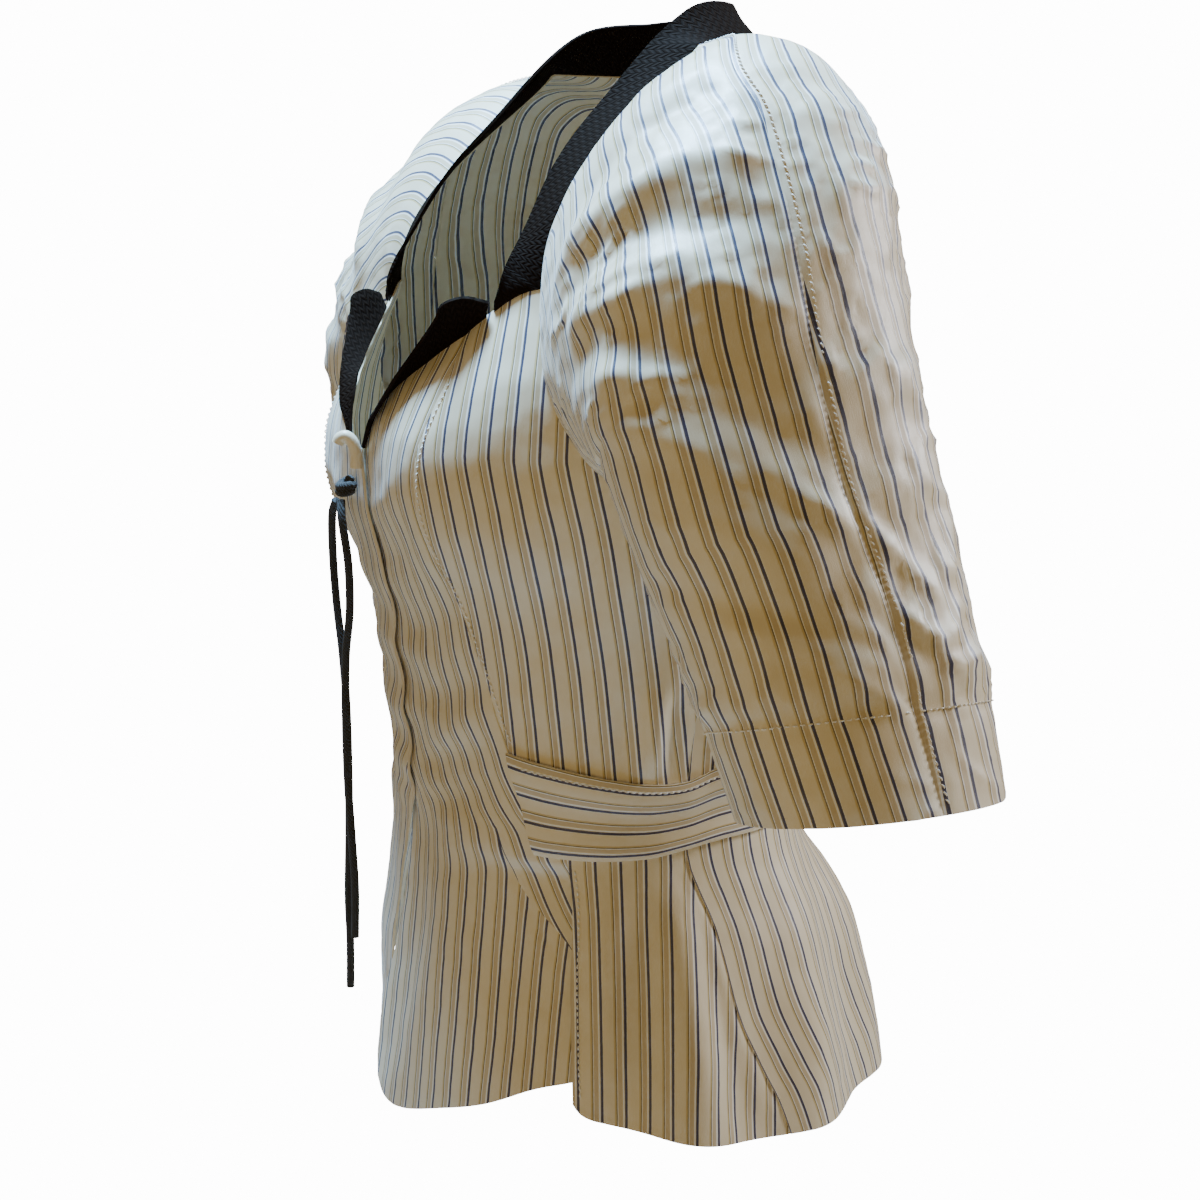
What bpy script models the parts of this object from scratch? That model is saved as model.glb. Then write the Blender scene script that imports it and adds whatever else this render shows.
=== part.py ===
"""A woman's striped summer jacket, short sleeved, with a peplum and a half belt.

Metres, +Z up. The jacket faces -Y and the wearer's left is +X. The origin lies midway
between the two shoulders where the collar meets them, so the garment hangs below it.
The body is one worn form that seams cut into panels. Each sleeve is a row of sections
from the neckline to the cuff. Every wall is a grid of cloth with an inner face.
"""

import math

import bmesh
import bpy
from mathutils import Vector

COTTON_WALL = 0.0016
BELT_WALL = 0.0022
TRIM_WALL = 0.0018
SEAM_GAP = 0.0003
RAGLAN_GAP = 0.0004
LAYER_GAP = 0.0016
BELT_STANDOFF = 0.0024

WAIST_SPLIT_Z = -0.394
UPPER_ROWS = 14
FRONT_UPPER_ROWS = 2 * UPPER_ROWS
PEPLUM_ROWS = 7
WAIST_STEP = 0.010
FRONT_COLUMNS = (0.0, 0.06, 0.16, 0.30, 0.46, 0.62, 0.80, 1.0)
RAGLAN_ROWS = 11
TUBE_ROWS = 12
SLEEVE_COLUMNS = 15
SEAM_STEP = 0.25
TURN_STEPS = 48

IVORY = (0.80, 0.77, 0.68, 1.0)
BLACK = (0.016, 0.017, 0.019, 1.0)
COTTON_ROUGHNESS = 0.55
TRIM_ROUGHNESS = 0.75

# The worn form at each height, measured from the centre line.
# z, half width, front depth, back depth, squareness
BODY_FORM = (
    (0.000, 0.098, 0.050, 0.070, 2.2),
    (-0.050, 0.125, 0.072, 0.088, 2.2),
    (-0.100, 0.144, 0.088, 0.100, 2.2),
    (-0.130, 0.150, 0.099, 0.103, 2.2),
    (-0.150, 0.152, 0.111, 0.104, 2.2),
    (-0.167, 0.153, 0.121, 0.103, 2.2),
    (-0.185, 0.153, 0.128, 0.102, 2.2),
    (-0.205, 0.153, 0.130, 0.100, 2.25),
    (-0.235, 0.150, 0.128, 0.096, 2.25),
    (-0.270, 0.142, 0.119, 0.091, 2.2),
    (-0.310, 0.133, 0.113, 0.087, 2.3),
    (-0.350, 0.126, 0.109, 0.086, 2.3),
    (-0.380, 0.123, 0.107, 0.088, 2.3),
    (-0.405, 0.127, 0.107, 0.097, 2.2),
    (-0.450, 0.144, 0.113, 0.130, 2.05),
    (-0.500, 0.160, 0.124, 0.144, 2.0),
    (-0.550, 0.170, 0.133, 0.150, 2.0),
)
BUST_POINT_X = 0.076
BUST_POINT_Z = -0.214
BUST_RISE = 0.010
BUST_SPREAD_X = 0.034
BUST_SPREAD_Z = 0.034
FLUTE_DEPTH = 0.0036
FLUTE_STEP = math.radians(27)
FLUTE_START_Z = -0.405
FLUTE_FULL_Z = -0.520
# The largest folds of the body. Turn is from level, and a depth below 0 is a trough: the
# closing edge waves between its hooks, and the waist drags and gathers over the belt.
# degrees from the centre front, z, turn degrees, length, width, depth
BODY_FOLDS = (
    (4.0, -0.266, 4, 0.034, 0.0100, 0.0026),
    (4.0, -0.300, -5, 0.036, 0.0100, 0.0028),
    (4.0, -0.334, 5, 0.038, 0.0100, 0.0030),
    (4.0, -0.366, -6, 0.036, 0.0090, 0.0026),
    (22.0, -0.283, 24, 0.034, 0.0100, -0.0018),
    (24.0, -0.318, 20, 0.036, 0.0100, -0.0020),
    (26.0, -0.352, 16, 0.036, 0.0100, -0.0020),
    (78.0, -0.318, 78, 0.034, 0.0100, 0.0026),
    (88.0, -0.312, 96, 0.036, 0.0100, -0.0030),
    (98.0, -0.316, 84, 0.036, 0.0100, 0.0030),
    (112.0, -0.316, 98, 0.036, 0.0110, -0.0026),
    (126.0, -0.314, 82, 0.038, 0.0110, 0.0026),
    (146.0, -0.300, 70, 0.040, 0.0120, -0.0024),
    (164.0, -0.305, 100, 0.040, 0.0120, 0.0022),
)
FOLD_RADIUS = 0.125

# Seams that run up the body: height against the angle from the centre front, in degrees.
LEFT_FRONT_EDGE = (
    (-0.545, -1.0), (-0.520, -3.8), (-0.495, -4.5), (-0.450, -3.6), (-0.400, -3.0),
    (-0.350, -4.5), (-0.200, -4.5),
)
RIGHT_FRONT_EDGE = (
    (-0.545, 8.0), (-0.520, 6.8), (-0.495, 6.4), (-0.450, 5.4), (-0.405, 2.4),
    (-0.380, -3.5), (-0.350, -4.5), (-0.300, -4.5), (-0.260, -6.5), (-0.200, -4.5),
)
PRINCESS_SEAM = (
    (-0.545, 60.5), (-0.510, 60.0), (-0.458, 59.0), (-0.394, 57.5), (-0.375, 49.0),
    (-0.342, 44.0), (-0.325, 41.4), (-0.303, 38.4), (-0.278, 35.2), (-0.255, 32.6),
    (-0.230, 31.0), (-0.205, 30.6), (-0.180, 32.0), (-0.160, 33.4), (-0.140, 33.4),
)
SIDE_SEAM = (
    (-0.545, 101.0), (-0.513, 98.2), (-0.494, 95.4), (-0.469, 92.0), (-0.427, 89.4),
    (-0.394, 85.0), (-0.350, 85.0), (-0.218, 91.0),
)
# The front passes this far behind the vent's edge, and this far inside it.
VENT_UNDERLAP = math.radians(6)
VENT_DEPTH = 0.0042
VENT_RUN = 0.026
# The right front lies over the left one up to here, and then fades down to the body.
LAP_FULL = math.radians(7)
LAP_FADE = math.radians(14)
# The right front hangs closer to the body than the left one towards its corner.
RIGHT_FRONT_FALL = 0.015
FALL_START_Z = -0.455
FALL_RUN = 0.080

# Top and bottom edges: degrees from the centre front against height.
NECK_FRONT = (
    (-8.0, -0.201), (2.0, -0.199), (5.0, -0.189), (8.0, -0.177), (18.0, -0.163),
    (28.6, -0.149), (33.4, -0.142), (42.0, -0.130), (48.0, -0.1235), (53.0, -0.121),
)
NECK_BACK = ((138.0, -0.012), (150.0, -0.016), (165.0, -0.020), (180.0, -0.022))
HEM = (
    (-6.0, -0.512), (-3.5, -0.526), (0.0, -0.538), (6.0, -0.543), (14.0, -0.541),
    (26.0, -0.531), (38.0, -0.519), (49.0, -0.502), (60.0, -0.492),
)
SIDE_HEM = (
    (59.0, -0.503), (61.5, -0.511), (66.0, -0.515), (73.0, -0.518), (81.0, -0.522),
    (89.0, -0.526), (99.0, -0.529), (124.0, -0.530), (150.0, -0.530), (180.0, -0.530),
)

# The raglan seams, front and back, station by station from the neckline to the underarm.
# station, front degrees, front z, back degrees, back z
RAGLAN = (
    (0, 53.0, -0.1210, 138.0, -0.012),
    (1, 53.6, -0.1380, 135.5, -0.036),
    (2, 54.8, -0.1550, 132.5, -0.066),
    (3, 57.0, -0.1700, 129.5, -0.100),
    (4, 60.2, -0.1850, 125.0, -0.135),
    (5, 65.8, -0.2030, 118.0, -0.170),
    (6, 76.0, -0.2145, 106.0, -0.201),
    (7, 91.0, -0.2180, 91.0, -0.218),
)
# The sleeve's crest, and how far its front and back stand out.
# station, crest x, y, z, front start degrees, front depth, back start degrees, back depth,
# flatness, overarm seam degrees in front of the crest
SLEEVE_CREST = (
    (0, 0.085, 0.010, -0.010, 90, 0.088, 90, 0.055, 2.6, 0),
    (1, 0.110, 0.013, -0.009, 86, 0.094, 86, 0.060, 1.6, 7),
    (2, 0.138, 0.016, -0.011, 80, 0.098, 78, 0.062, 1.15, 13),
    (3, 0.162, 0.017, -0.0235, 72, 0.103, 70, 0.060, 1.0, 16),
    (4, 0.1835, 0.017, -0.0425, 60, 0.102, 60, 0.057, 1.0, 16),
    (5, 0.2015, 0.012, -0.070, 45, 0.099, 45, 0.054, 1.0, 14),
    (6, 0.217, 0.005, -0.103, 24, 0.095, 24, 0.055, 1.0, 10),
    (7, 0.230, -0.003, -0.145, 0, 0.087, 0, 0.062, 1.0, 5),
    (8, 0.246, -0.005, -0.195, 0, 0.074, 0, 0.070, 1.0, 1),
    (9, 0.264, 0.002, -0.250, 0, 0.065, 0, 0.069, 1.0, -2),
    (10, 0.278, 0.007, -0.298, 0, 0.060, 0, 0.067, 1.0, -3),
    (11, 0.289, 0.010, -0.3275, 0, 0.057, 0, 0.063, 1.0, -4),
)
# The underarm line of the closed part: station, x, y, z
UNDERARM = (
    (7, 0.1530, 0.002, -0.218),
    (8, 0.1680, -0.006, -0.246),
    (9, 0.1810, 0.000, -0.286),
    (10, 0.1905, 0.006, -0.318),
    (11, 0.1965, 0.010, -0.345),
)
UNDERARM_STATION = 7
CUFF_STATION = 11
# The largest folds of a sleeve. Ahead is metres of cloth in front of the overarm seam,
# and a station is about STATION_LENGTH of cloth down the sleeve.
# ahead, station, turn degrees, length, width, depth
SLEEVE_FOLDS = (
    (0.050, 3.0, 20, 0.050, 0.0150, -0.0040),
    (0.085, 3.7, 35, 0.040, 0.0120, 0.0030),
    (0.070, 4.7, 30, 0.045, 0.0110, -0.0030),
    (0.040, 4.3, 25, 0.036, 0.0110, 0.0026),
    (0.090, 5.9, 38, 0.040, 0.0100, -0.0028),
    (0.050, 6.9, 28, 0.040, 0.0100, -0.0026),
    (0.050, 8.2, 24, 0.036, 0.0100, 0.0024),
    (-0.030, 3.6, -20, 0.040, 0.0120, -0.0026),
    (-0.050, 5.0, -30, 0.040, 0.0110, 0.0026),
    (-0.045, 6.3, -28, 0.040, 0.0110, -0.0028),
    (-0.060, 7.8, -30, 0.040, 0.0110, 0.0026),
)
# Behind the overarm seam the lower sleeve is flatter than an ellipse by this much.
BACK_FLATTENING = 0.25
FLATTENING_STATION = 5
STATION_LENGTH = 0.036
SEAM_CALM = 0.016
NECK_CALM = 0.8

# The belt: degrees from the centre front, top edge z, bottom edge z.
BELT = (
    (43.9, -0.341, -0.390), (54.0, -0.345, -0.392), (74.0, -0.353, -0.392),
    (84.0, -0.354, -0.389), (94.0, -0.348, -0.386), (120.0, -0.344, -0.386),
    (180.0, -0.343, -0.386),
)
BELT_END_TOP = 43.9
BELT_END_BOTTOM = 50.1
BELT_COLUMNS = 19

# The collar's inner edge from the notch to the centre back: x, y, z against the share.
COLLAR_INNER = (
    (0.00, 0.0790, -0.0905, -0.1265),
    (0.10, 0.0790, -0.0830, -0.1110),
    (0.20, 0.0780, -0.0745, -0.0980),
    (0.34, 0.0720, -0.0560, -0.0670),
    (0.46, 0.0670, -0.0350, -0.0430),
    (0.66, 0.0620, 0.0150, 0.0060),
    (0.82, 0.0440, 0.0500, 0.0130),
    (1.00, 0.0000, 0.0620, 0.0120),
)
# The lapel's free edge from the centre front up to its corner and out to the notch.
LAPEL_INNER = (
    (0.00, 0.0100, -0.1345, -0.2000),
    (0.14, 0.0200, -0.1345, -0.1870),
    (0.28, 0.0290, -0.1335, -0.1800),
    (0.42, 0.0400, -0.1290, -0.1660),
    (0.58, 0.0530, -0.1215, -0.1500),
    (0.72, 0.0640, -0.1150, -0.1360),
    (0.80, 0.0680, -0.1125, -0.1285),
    (0.90, 0.0730, -0.1030, -0.1250),
    (1.00, 0.0790, -0.0930, -0.1270),
)

TAB_RADIUS = 0.0048
TAB_LENGTH = 0.019
KNOT_CENTRE = Vector((0.0, -0.1395, -0.2205))
KNOT_RADIUS = 0.0052
CORD_DIAMETER = 0.0042
CORD_POINTS = 44
# The two strands of the tie, each hanging from the knot: x, y, z.
STRAND_LEFT = (
    (-0.0030, -0.1438, -0.2270), (-0.0085, -0.1444, -0.2360), (-0.0130, -0.1432, -0.2580),
    (-0.0115, -0.1424, -0.2820), (-0.0060, -0.1418, -0.3060), (-0.0030, -0.1413, -0.3350),
    (-0.0028, -0.1413, -0.3700), (-0.0034, -0.1418, -0.4020), (-0.0050, -0.1426, -0.4350),
    (-0.0040, -0.1426, -0.4600), (-0.0046, -0.1430, -0.4860),
)
STRAND_RIGHT = (
    (0.0030, -0.1430, -0.2265), (0.0070, -0.1440, -0.2360), (0.0090, -0.1420, -0.2580),
    (0.0075, -0.1415, -0.2820), (0.0030, -0.1428, -0.3060), (0.0020, -0.1434, -0.3350),
    (0.0022, -0.1434, -0.3700), (0.0040, -0.1426, -0.4020), (0.0056, -0.1421, -0.4280),
    (0.0048, -0.1426, -0.4550),
)


def smooth_value(table, key, column):
    """A column of a table at a key between its rows, on a smooth curve."""
    rows = table if table[0][0] < table[-1][0] else table[::-1]
    if key <= rows[0][0]:
        return rows[0][column]
    if key >= rows[-1][0]:
        return rows[-1][column]
    low = max(k for k, row in enumerate(rows) if row[0] <= key)

    def slope(k):
        before = rows[max(k - 1, 0)]
        after = rows[min(k + 1, len(rows) - 1)]
        return (after[column] - before[column]) / (after[0] - before[0])

    start, end = rows[low], rows[low + 1]
    width = end[0] - start[0]
    t = (key - start[0]) / width
    return (
        (2 * t**3 - 3 * t**2 + 1) * start[column]
        + (t**3 - 2 * t**2 + t) * width * slope(low)
        + (3 * t**2 - 2 * t**3) * end[column]
        + (t**3 - t**2) * width * slope(low + 1)
    )


def smooth_angle(table, z):
    return math.radians(smooth_value(table, z, 1))


def ease(value):
    """0 below 0, 1 above 1, and a smooth rise between."""
    t = min(max(value, 0.0), 1.0)
    return t * t * (3 - 2 * t)


def fold_height(side, up, turn, length, width, depth):
    """A soft ridge or trough at a place beside and above its middle."""
    if abs(side) + abs(up) > 2.5 * (length + width):
        return 0.0
    cosine, sine = math.cos(math.radians(turn)), math.sin(math.radians(turn))
    along = (side * cosine + up * sine) / length
    across = (up * cosine - side * sine) / width
    return depth * math.exp(-across**2 - along**4)


def body_folds(angle, z):
    height = 0.0
    for degrees, fold_z, turn, length, width, depth in BODY_FOLDS:
        side = (abs(angle) - math.radians(degrees)) * FOLD_RADIUS
        height += fold_height(side, z - fold_z, turn, length, width, depth)
    return height


def body_surface(angle, z):
    """The outer face of the body at an angle from the centre front, on the left half."""
    half_width = smooth_value(BODY_FORM, z, 1)
    front = smooth_value(BODY_FORM, z, 2)
    back = smooth_value(BODY_FORM, z, 3)
    power = smooth_value(BODY_FORM, z, 4)
    sine, cosine = math.sin(angle), math.cos(angle)
    depth = front if cosine > 0 else back
    reach = (abs(sine) / half_width) ** power + (abs(cosine) / depth) ** power
    radius = reach ** (-1 / power)
    hang = ease((z - FLUTE_START_Z) / (FLUTE_FULL_Z - FLUTE_START_Z))
    sideways = ease((angle - math.radians(50)) / math.radians(20))
    radius += FLUTE_DEPTH * hang * sideways * math.cos(2 * math.pi * angle / FLUTE_STEP)
    radius += body_folds(angle, z)
    point = Vector((radius * sine, -radius * cosine, z))
    if cosine > 0:
        across = (abs(point.x) - BUST_POINT_X) / BUST_SPREAD_X
        upward = (z - BUST_POINT_Z) / BUST_SPREAD_Z
        point.y -= BUST_RISE * math.exp(-(across**2 + upward**2) / 2)
    return point


def surface_normal(surface, across, along, step_across, step_along):
    """The unit normal where the two ways of walking a surface cross."""
    side = surface(across + step_across, along) - surface(across - step_across, along)
    up = surface(across, along + step_along) - surface(across, along - step_along)
    return side.cross(up).normalized()


def body_normal(angle, z):
    normal = surface_normal(body_surface, angle, z, 0.02, 0.002)
    if angle > math.pi - 0.01:
        normal.x = 0
    return normal.normalized()


def raglan_point(station, front):
    """The raglan seam's place on the body: its angle and its height."""
    first = 1 if front else 3
    angle = math.radians(smooth_value(RAGLAN, station, first))
    return angle, smooth_value(RAGLAN, station, first + 1)


def seam_point(station, front):
    """Where a sleeve section starts (front) or ends (back)."""
    if station >= UNDERARM_STATION:
        return Vector([smooth_value(UNDERARM, station, column) for column in (1, 2, 3)])
    return body_surface(*raglan_point(station, front))


def sleeve_start(station, front):
    """The angle round the section at which the cloth leaves the raglan seam."""
    return math.radians(smooth_value(SLEEVE_CREST, station, 4 if front else 6))


def sleeve_surface(turn, station):
    """The sleeve's outer face. Turn is 0 under the arm, pi at the crest, past it behind."""
    front = turn <= math.pi
    angle = turn if front else 2 * math.pi - turn
    crest = Vector([smooth_value(SLEEVE_CREST, station, column) for column in (1, 2, 3)])
    start = sleeve_start(station, front)
    depth = smooth_value(SLEEVE_CREST, station, 5 if front else 7)
    flatness = smooth_value(SLEEVE_CREST, station, 8)
    if not front:
        tube = ease((station - FLATTENING_STATION) / (UNDERARM_STATION - FLATTENING_STATION))
        flatness -= BACK_FLATTENING * tube
    foot = seam_point(station, front)
    share = (1 + math.cos(angle)) / (1 + math.cos(start))
    side = -1 if front else 1

    def bow(value):
        return side * depth * max(math.sin(value), 0.0) ** flatness

    lean = foot.y - crest.y - bow(start)
    point = crest.lerp(foot, share)
    point.y = crest.y + lean * share + bow(angle)
    return point


def sleeve_directions(turn, station, step):
    """The outward normal, and the way round the sleeve from its front to its back."""
    side = sleeve_surface(turn + step, station) - sleeve_surface(turn - step, station)
    station = min(max(station, 0.03), CUFF_STATION - 0.03)
    along = sleeve_surface(turn, station + 0.03) - sleeve_surface(turn, station - 0.03)
    normal = along.cross(side).normalized()
    return normal, normal.cross(along).normalized()


def sleeve_normal(turn, station):
    return sleeve_directions(turn, station, 0.05)[0]


def raglan_normal(station, front):
    """Shared by the body and the sleeve along their seam, so that their walls stay parted."""
    turn = sleeve_start(station, front)
    if not front:
        turn = 2 * math.pi - turn
    on_sleeve = sleeve_normal(turn + (0.06 if front else -0.06), station)
    return (on_sleeve + body_normal(*raglan_point(station, front))).normalized()


def raglan_edge(station, front):
    """The seam's shared normal, and the way across it from the body into the sleeve."""
    normal = raglan_normal(station, front)
    low, high = max(station - 0.05, 0), min(station + 0.05, UNDERARM_STATION)
    along = seam_point(high, front) - seam_point(low, front)
    across = normal.cross(along).normalized()
    crest = Vector([smooth_value(SLEEVE_CREST, station, column) for column in (1, 2, 3)])
    if across.dot(crest - seam_point(station, front)) < 0:
        across = -across
    return normal, across


def cloth_material(name, colour, roughness):
    material = bpy.data.materials.get(name)
    if material is None:
        material = bpy.data.materials.new(name)
        material.use_nodes = True
        shader = material.node_tree.nodes["Principled BSDF"]
        shader.inputs["Base Color"].default_value = colour
        shader.inputs["Roughness"].default_value = roughness
        shader.inputs["Metallic"].default_value = 0.0
    return material


def finish_object(name, mesh_data, material):
    mesh = bpy.data.meshes.new(name)
    bmesh.ops.recalc_face_normals(mesh_data, faces=mesh_data.faces[:])
    if mesh_data.calc_volume(signed=True) < 0:
        bmesh.ops.reverse_faces(mesh_data, faces=mesh_data.faces[:])
    mesh_data.to_mesh(mesh)
    mesh_data.free()
    mesh.materials.append(material)
    mesh.shade_smooth()
    mesh.set_sharp_from_angle(angle=math.radians(50))
    piece = bpy.data.objects.new(name, mesh)
    jacket.objects.link(piece)
    return piece


def cloth_wall(name, columns, rows, place, thickness, material, mirrored=False):
    """A grid of cloth with an inner face. place gives a grid point and its outward normal."""
    cloth = bmesh.new()
    bmesh.ops.create_grid(cloth, x_segments=columns, y_segments=rows, size=0.5)
    inner = bmesh.ops.extrude_face_region(cloth, geom=cloth.faces[:], use_keep_orig=True)
    inner_points = {item for item in inner["geom"] if isinstance(item, bmesh.types.BMVert)}
    placed = {}
    for point in cloth.verts:
        column = round((point.co.x + 0.5) * columns)
        row = round((point.co.y + 0.5) * rows)
        if (column, row) not in placed:
            placed[column, row] = place(column, row)
        outer, normal = placed[column, row]
        point.co = outer - normal * thickness if point in inner_points else outer
        if mirrored:
            point.co.x = -point.co.x
    return finish_object(name, cloth, material)


def shifted(angle, radius, distance):
    return angle + distance / radius


def panel_column(share_low, share_top, start_seam, end_seam, hem, z_top, upper_rows):
    """Heights and angles of one column of a body panel, from the hem to its top edge."""
    def angle_at(z):
        start, end = smooth_angle(start_seam, z), smooth_angle(end_seam, z)
        rise = ease((z - WAIST_SPLIT_Z) / (z_top - WAIST_SPLIT_Z))
        share = share_low + (share_top - share_low) * rise
        return start + (end - start) * share

    z_hem = hem[0][1]
    for _ in range(8):
        z_hem = smooth_value(hem, math.degrees(angle_at(z_hem)), 1)
    column = []
    for row in range(PEPLUM_ROWS + upper_rows + 1):
        if row < PEPLUM_ROWS:
            z = z_hem + (WAIST_SPLIT_Z - WAIST_STEP - z_hem) * row / (PEPLUM_ROWS - 1)
        else:
            z = WAIST_SPLIT_Z + (z_top - WAIST_SPLIT_Z) * (row - PEPLUM_ROWS) / upper_rows
        column.append((angle_at(z), z))
    return column


def share_of(angle, z, start_seam, end_seam):
    start, end = smooth_angle(start_seam, z), smooth_angle(end_seam, z)
    return (angle - start) / (end - start)


def neck_top(share, start_seam, end_seam, neck):
    """Where a column of a front meets the neckline."""
    z = neck[0][1]
    for _ in range(12):
        start, end = smooth_angle(start_seam, z), smooth_angle(end_seam, z)
        z = smooth_value(neck, math.degrees(start + (end - start) * share), 1)
    return z


def lap_height(angle):
    return (COTTON_WALL + LAYER_GAP) * (1 - ease((angle - LAP_FULL) / LAP_FADE))


def front_panel(name, edge, over, mirrored):
    """A front from the closing edge to the princess seam. The right one laps over."""
    columns = []
    for share in FRONT_COLUMNS:
        z_top = neck_top(share, edge, PRINCESS_SEAM, NECK_FRONT)
        columns.append(panel_column(share, share, edge, PRINCESS_SEAM, HEM, z_top,
                                    FRONT_UPPER_ROWS))

    def place(column, row):
        share = FRONT_COLUMNS[column]
        if share == 1.0 and row > PEPLUM_ROWS and (row - PEPLUM_ROWS) % 2:
            # Halfway between two points that the side panel's coarser edge has too.
            below, above = place(column, row - 1), place(column, row + 1)
            return (below[0] + above[0]) / 2, (below[1] + above[1]).normalized()
        angle, z = columns[column][row]
        depth = 0.0
        if share == 1.0:
            angle = shifted(angle, 0.11, -SEAM_GAP / 2)
        near_vent = ease((share - 0.5) / 0.5)
        depth -= VENT_DEPTH * near_vent * ease((WAIST_SPLIT_Z - z) / WAIST_STEP)
        vent_top = WAIST_SPLIT_Z - WAIST_STEP
        angle += VENT_UNDERLAP * near_vent * ease((vent_top - z) / VENT_RUN)
        if over:
            depth += lap_height(angle)
            depth -= RIGHT_FRONT_FALL * ease((FALL_START_Z - z) / FALL_RUN) * (1 - 0.6 * share)
        normal = body_normal(angle, z)
        return body_surface(angle, z) + normal * depth, normal

    cloth_wall(name, len(FRONT_COLUMNS) - 1, PEPLUM_ROWS + FRONT_UPPER_ROWS, place,
               COTTON_WALL, COTTON, mirrored)
    return columns


def side_tops():
    """The stations along a side panel's top edge: angle, height and raglan station."""
    tops = []
    for degrees in (33.4, 40.5, 47.0):
        z = smooth_value(NECK_FRONT, degrees, 1)
        tops.append((math.radians(degrees), z, None))
    for row in range(RAGLAN_ROWS + 1):
        station = UNDERARM_STATION * row / RAGLAN_ROWS
        tops.append((*raglan_point(station, True), station))
    return tops


def back_tops():
    tops = []
    for row in range(RAGLAN_ROWS, -1, -1):
        station = UNDERARM_STATION * row / RAGLAN_ROWS
        tops.append((*raglan_point(station, False), station))
    for degrees in (150.0, 165.0, 180.0):
        tops.append((math.radians(degrees), smooth_value(NECK_BACK, degrees, 1), None))
    return tops


CENTRE_BACK = ((-0.6, 180.0), (0.0, 180.0))


def seamed_panel(name, tops, start_seam, end_seam, front, mirrored):
    """A side or back panel whose top edge runs along the neckline and the raglan seam."""
    columns = []
    last_column = len(tops) - 1
    for index, (angle, z_top, _) in enumerate(tops):
        low, top = index / last_column, share_of(angle, z_top, start_seam, end_seam)
        columns.append(panel_column(low, top, start_seam, end_seam, SIDE_HEM, z_top,
                                    UPPER_ROWS))
    last_row = PEPLUM_ROWS + UPPER_ROWS

    def place(column, row):
        angle, z = columns[column][row]
        normal = body_normal(angle, z)
        if column == 0:
            angle = shifted(angle, 0.11, SEAM_GAP / 2)
        if column == last_column:
            angle = shifted(angle, 0.11, -SEAM_GAP / 2)
        point = body_surface(angle, z)
        station = tops[column][2]
        if row == last_row and station is not None:
            normal, across = raglan_edge(station, front)
            point -= across * RAGLAN_GAP / 2
        return point, normal

    cloth_wall(name, last_column, last_row, place, COTTON_WALL, COTTON, mirrored)


def sleeve_station(row):
    if row <= RAGLAN_ROWS:
        return UNDERARM_STATION * row / RAGLAN_ROWS
    share = (row - RAGLAN_ROWS) / TUBE_ROWS
    return UNDERARM_STATION + (CUFF_STATION - UNDERARM_STATION) * share


def sleeve_turns(station, front):
    """The turns where a sleeve piece starts and ends at one section."""
    overarm = math.pi - math.radians(smooth_value(SLEEVE_CREST, station, 9))
    if front:
        return sleeve_start(station, True), overarm
    return overarm, 2 * math.pi - sleeve_start(station, False)


def spaced_turns(station, front):
    """A section's turns at even steps of cloth between its seams, and its whole length."""
    first, last = sleeve_turns(station, front)
    turns = [first + (last - first) * step / TURN_STEPS for step in range(TURN_STEPS + 1)]
    points = [sleeve_surface(turn, station) for turn in turns]
    walked = [0.0]
    for before, after in zip(points, points[1:]):
        walked.append(walked[-1] + (after - before).length)
    spaced = []
    for column in range(SLEEVE_COLUMNS + 1):
        wanted = walked[-1] * column / SLEEVE_COLUMNS
        step = next(k for k in range(1, TURN_STEPS + 1) if walked[k] >= wanted - 1e-9)
        share = (wanted - walked[step - 1]) / (walked[step] - walked[step - 1])
        spaced.append(turns[step - 1] + (turns[step] - turns[step - 1]) * share)
    return spaced, walked[-1]


def sleeve_fold_height(ahead, to_edge, station):
    """All the folds at one place of a sleeve, calmed beside its seams and its neckline."""
    height = 0.0
    for fold_ahead, fold_station, *shape in SLEEVE_FOLDS:
        up = (fold_station - station) * STATION_LENGTH
        height += fold_height(ahead - fold_ahead, up, *shape)
    beside = ease(min(abs(ahead), to_edge) / SEAM_CALM)
    return height * beside * ease(station / NECK_CALM)


def sleeve_piece(name, front, mirrored):
    rows = RAGLAN_ROWS + TUBE_ROWS
    rounds = [spaced_turns(sleeve_station(row), front) for row in range(rows + 1)]

    def place(column, row):
        station = sleeve_station(row)
        turns, girth = rounds[row]
        turn = turns[column]
        normal = sleeve_normal(turn, station)
        walked = girth * column / SLEEVE_COLUMNS
        if front:
            lift = sleeve_fold_height(girth - walked, walked, station)
        else:
            lift = sleeve_fold_height(-walked, girth - walked, station)
        point = sleeve_surface(turn, station) + normal * lift
        into = 1 if column == 0 else -1
        if column == (0 if front else SLEEVE_COLUMNS) and station < UNDERARM_STATION:
            normal, across = raglan_edge(station, front)
            point += across * RAGLAN_GAP / 2
        elif column in (0, SLEEVE_COLUMNS):
            normal, across = sleeve_directions(turn, station, SEAM_STEP)
            point += across * into * RAGLAN_GAP / 2
        return point, normal

    cloth_wall(name, SLEEVE_COLUMNS, rows, place, COTTON_WALL, COTTON, mirrored)


def build_belt():
    """One strip from the left princess seam round the back to the right one."""
    half = BELT_COLUMNS
    rows = 3

    def place(column, row):
        share = abs(column - half) / half
        side = 1 if column <= half else -1
        up = row / rows
        end = math.radians(BELT_END_BOTTOM + (BELT_END_TOP - BELT_END_BOTTOM) * up)
        angle = math.pi - (math.pi - end) * share
        degrees = math.degrees(angle)
        top, bottom = smooth_value(BELT, degrees, 1), smooth_value(BELT, degrees, 2)
        z = bottom + (top - bottom) * up
        normal = body_normal(angle, z)
        point = body_surface(angle, z) + normal * (BELT_WALL + BELT_STANDOFF)
        point.x *= side
        normal.x *= side
        return point, normal

    cloth_wall("belt", 2 * half, rows, place, BELT_WALL, COTTON)


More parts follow.
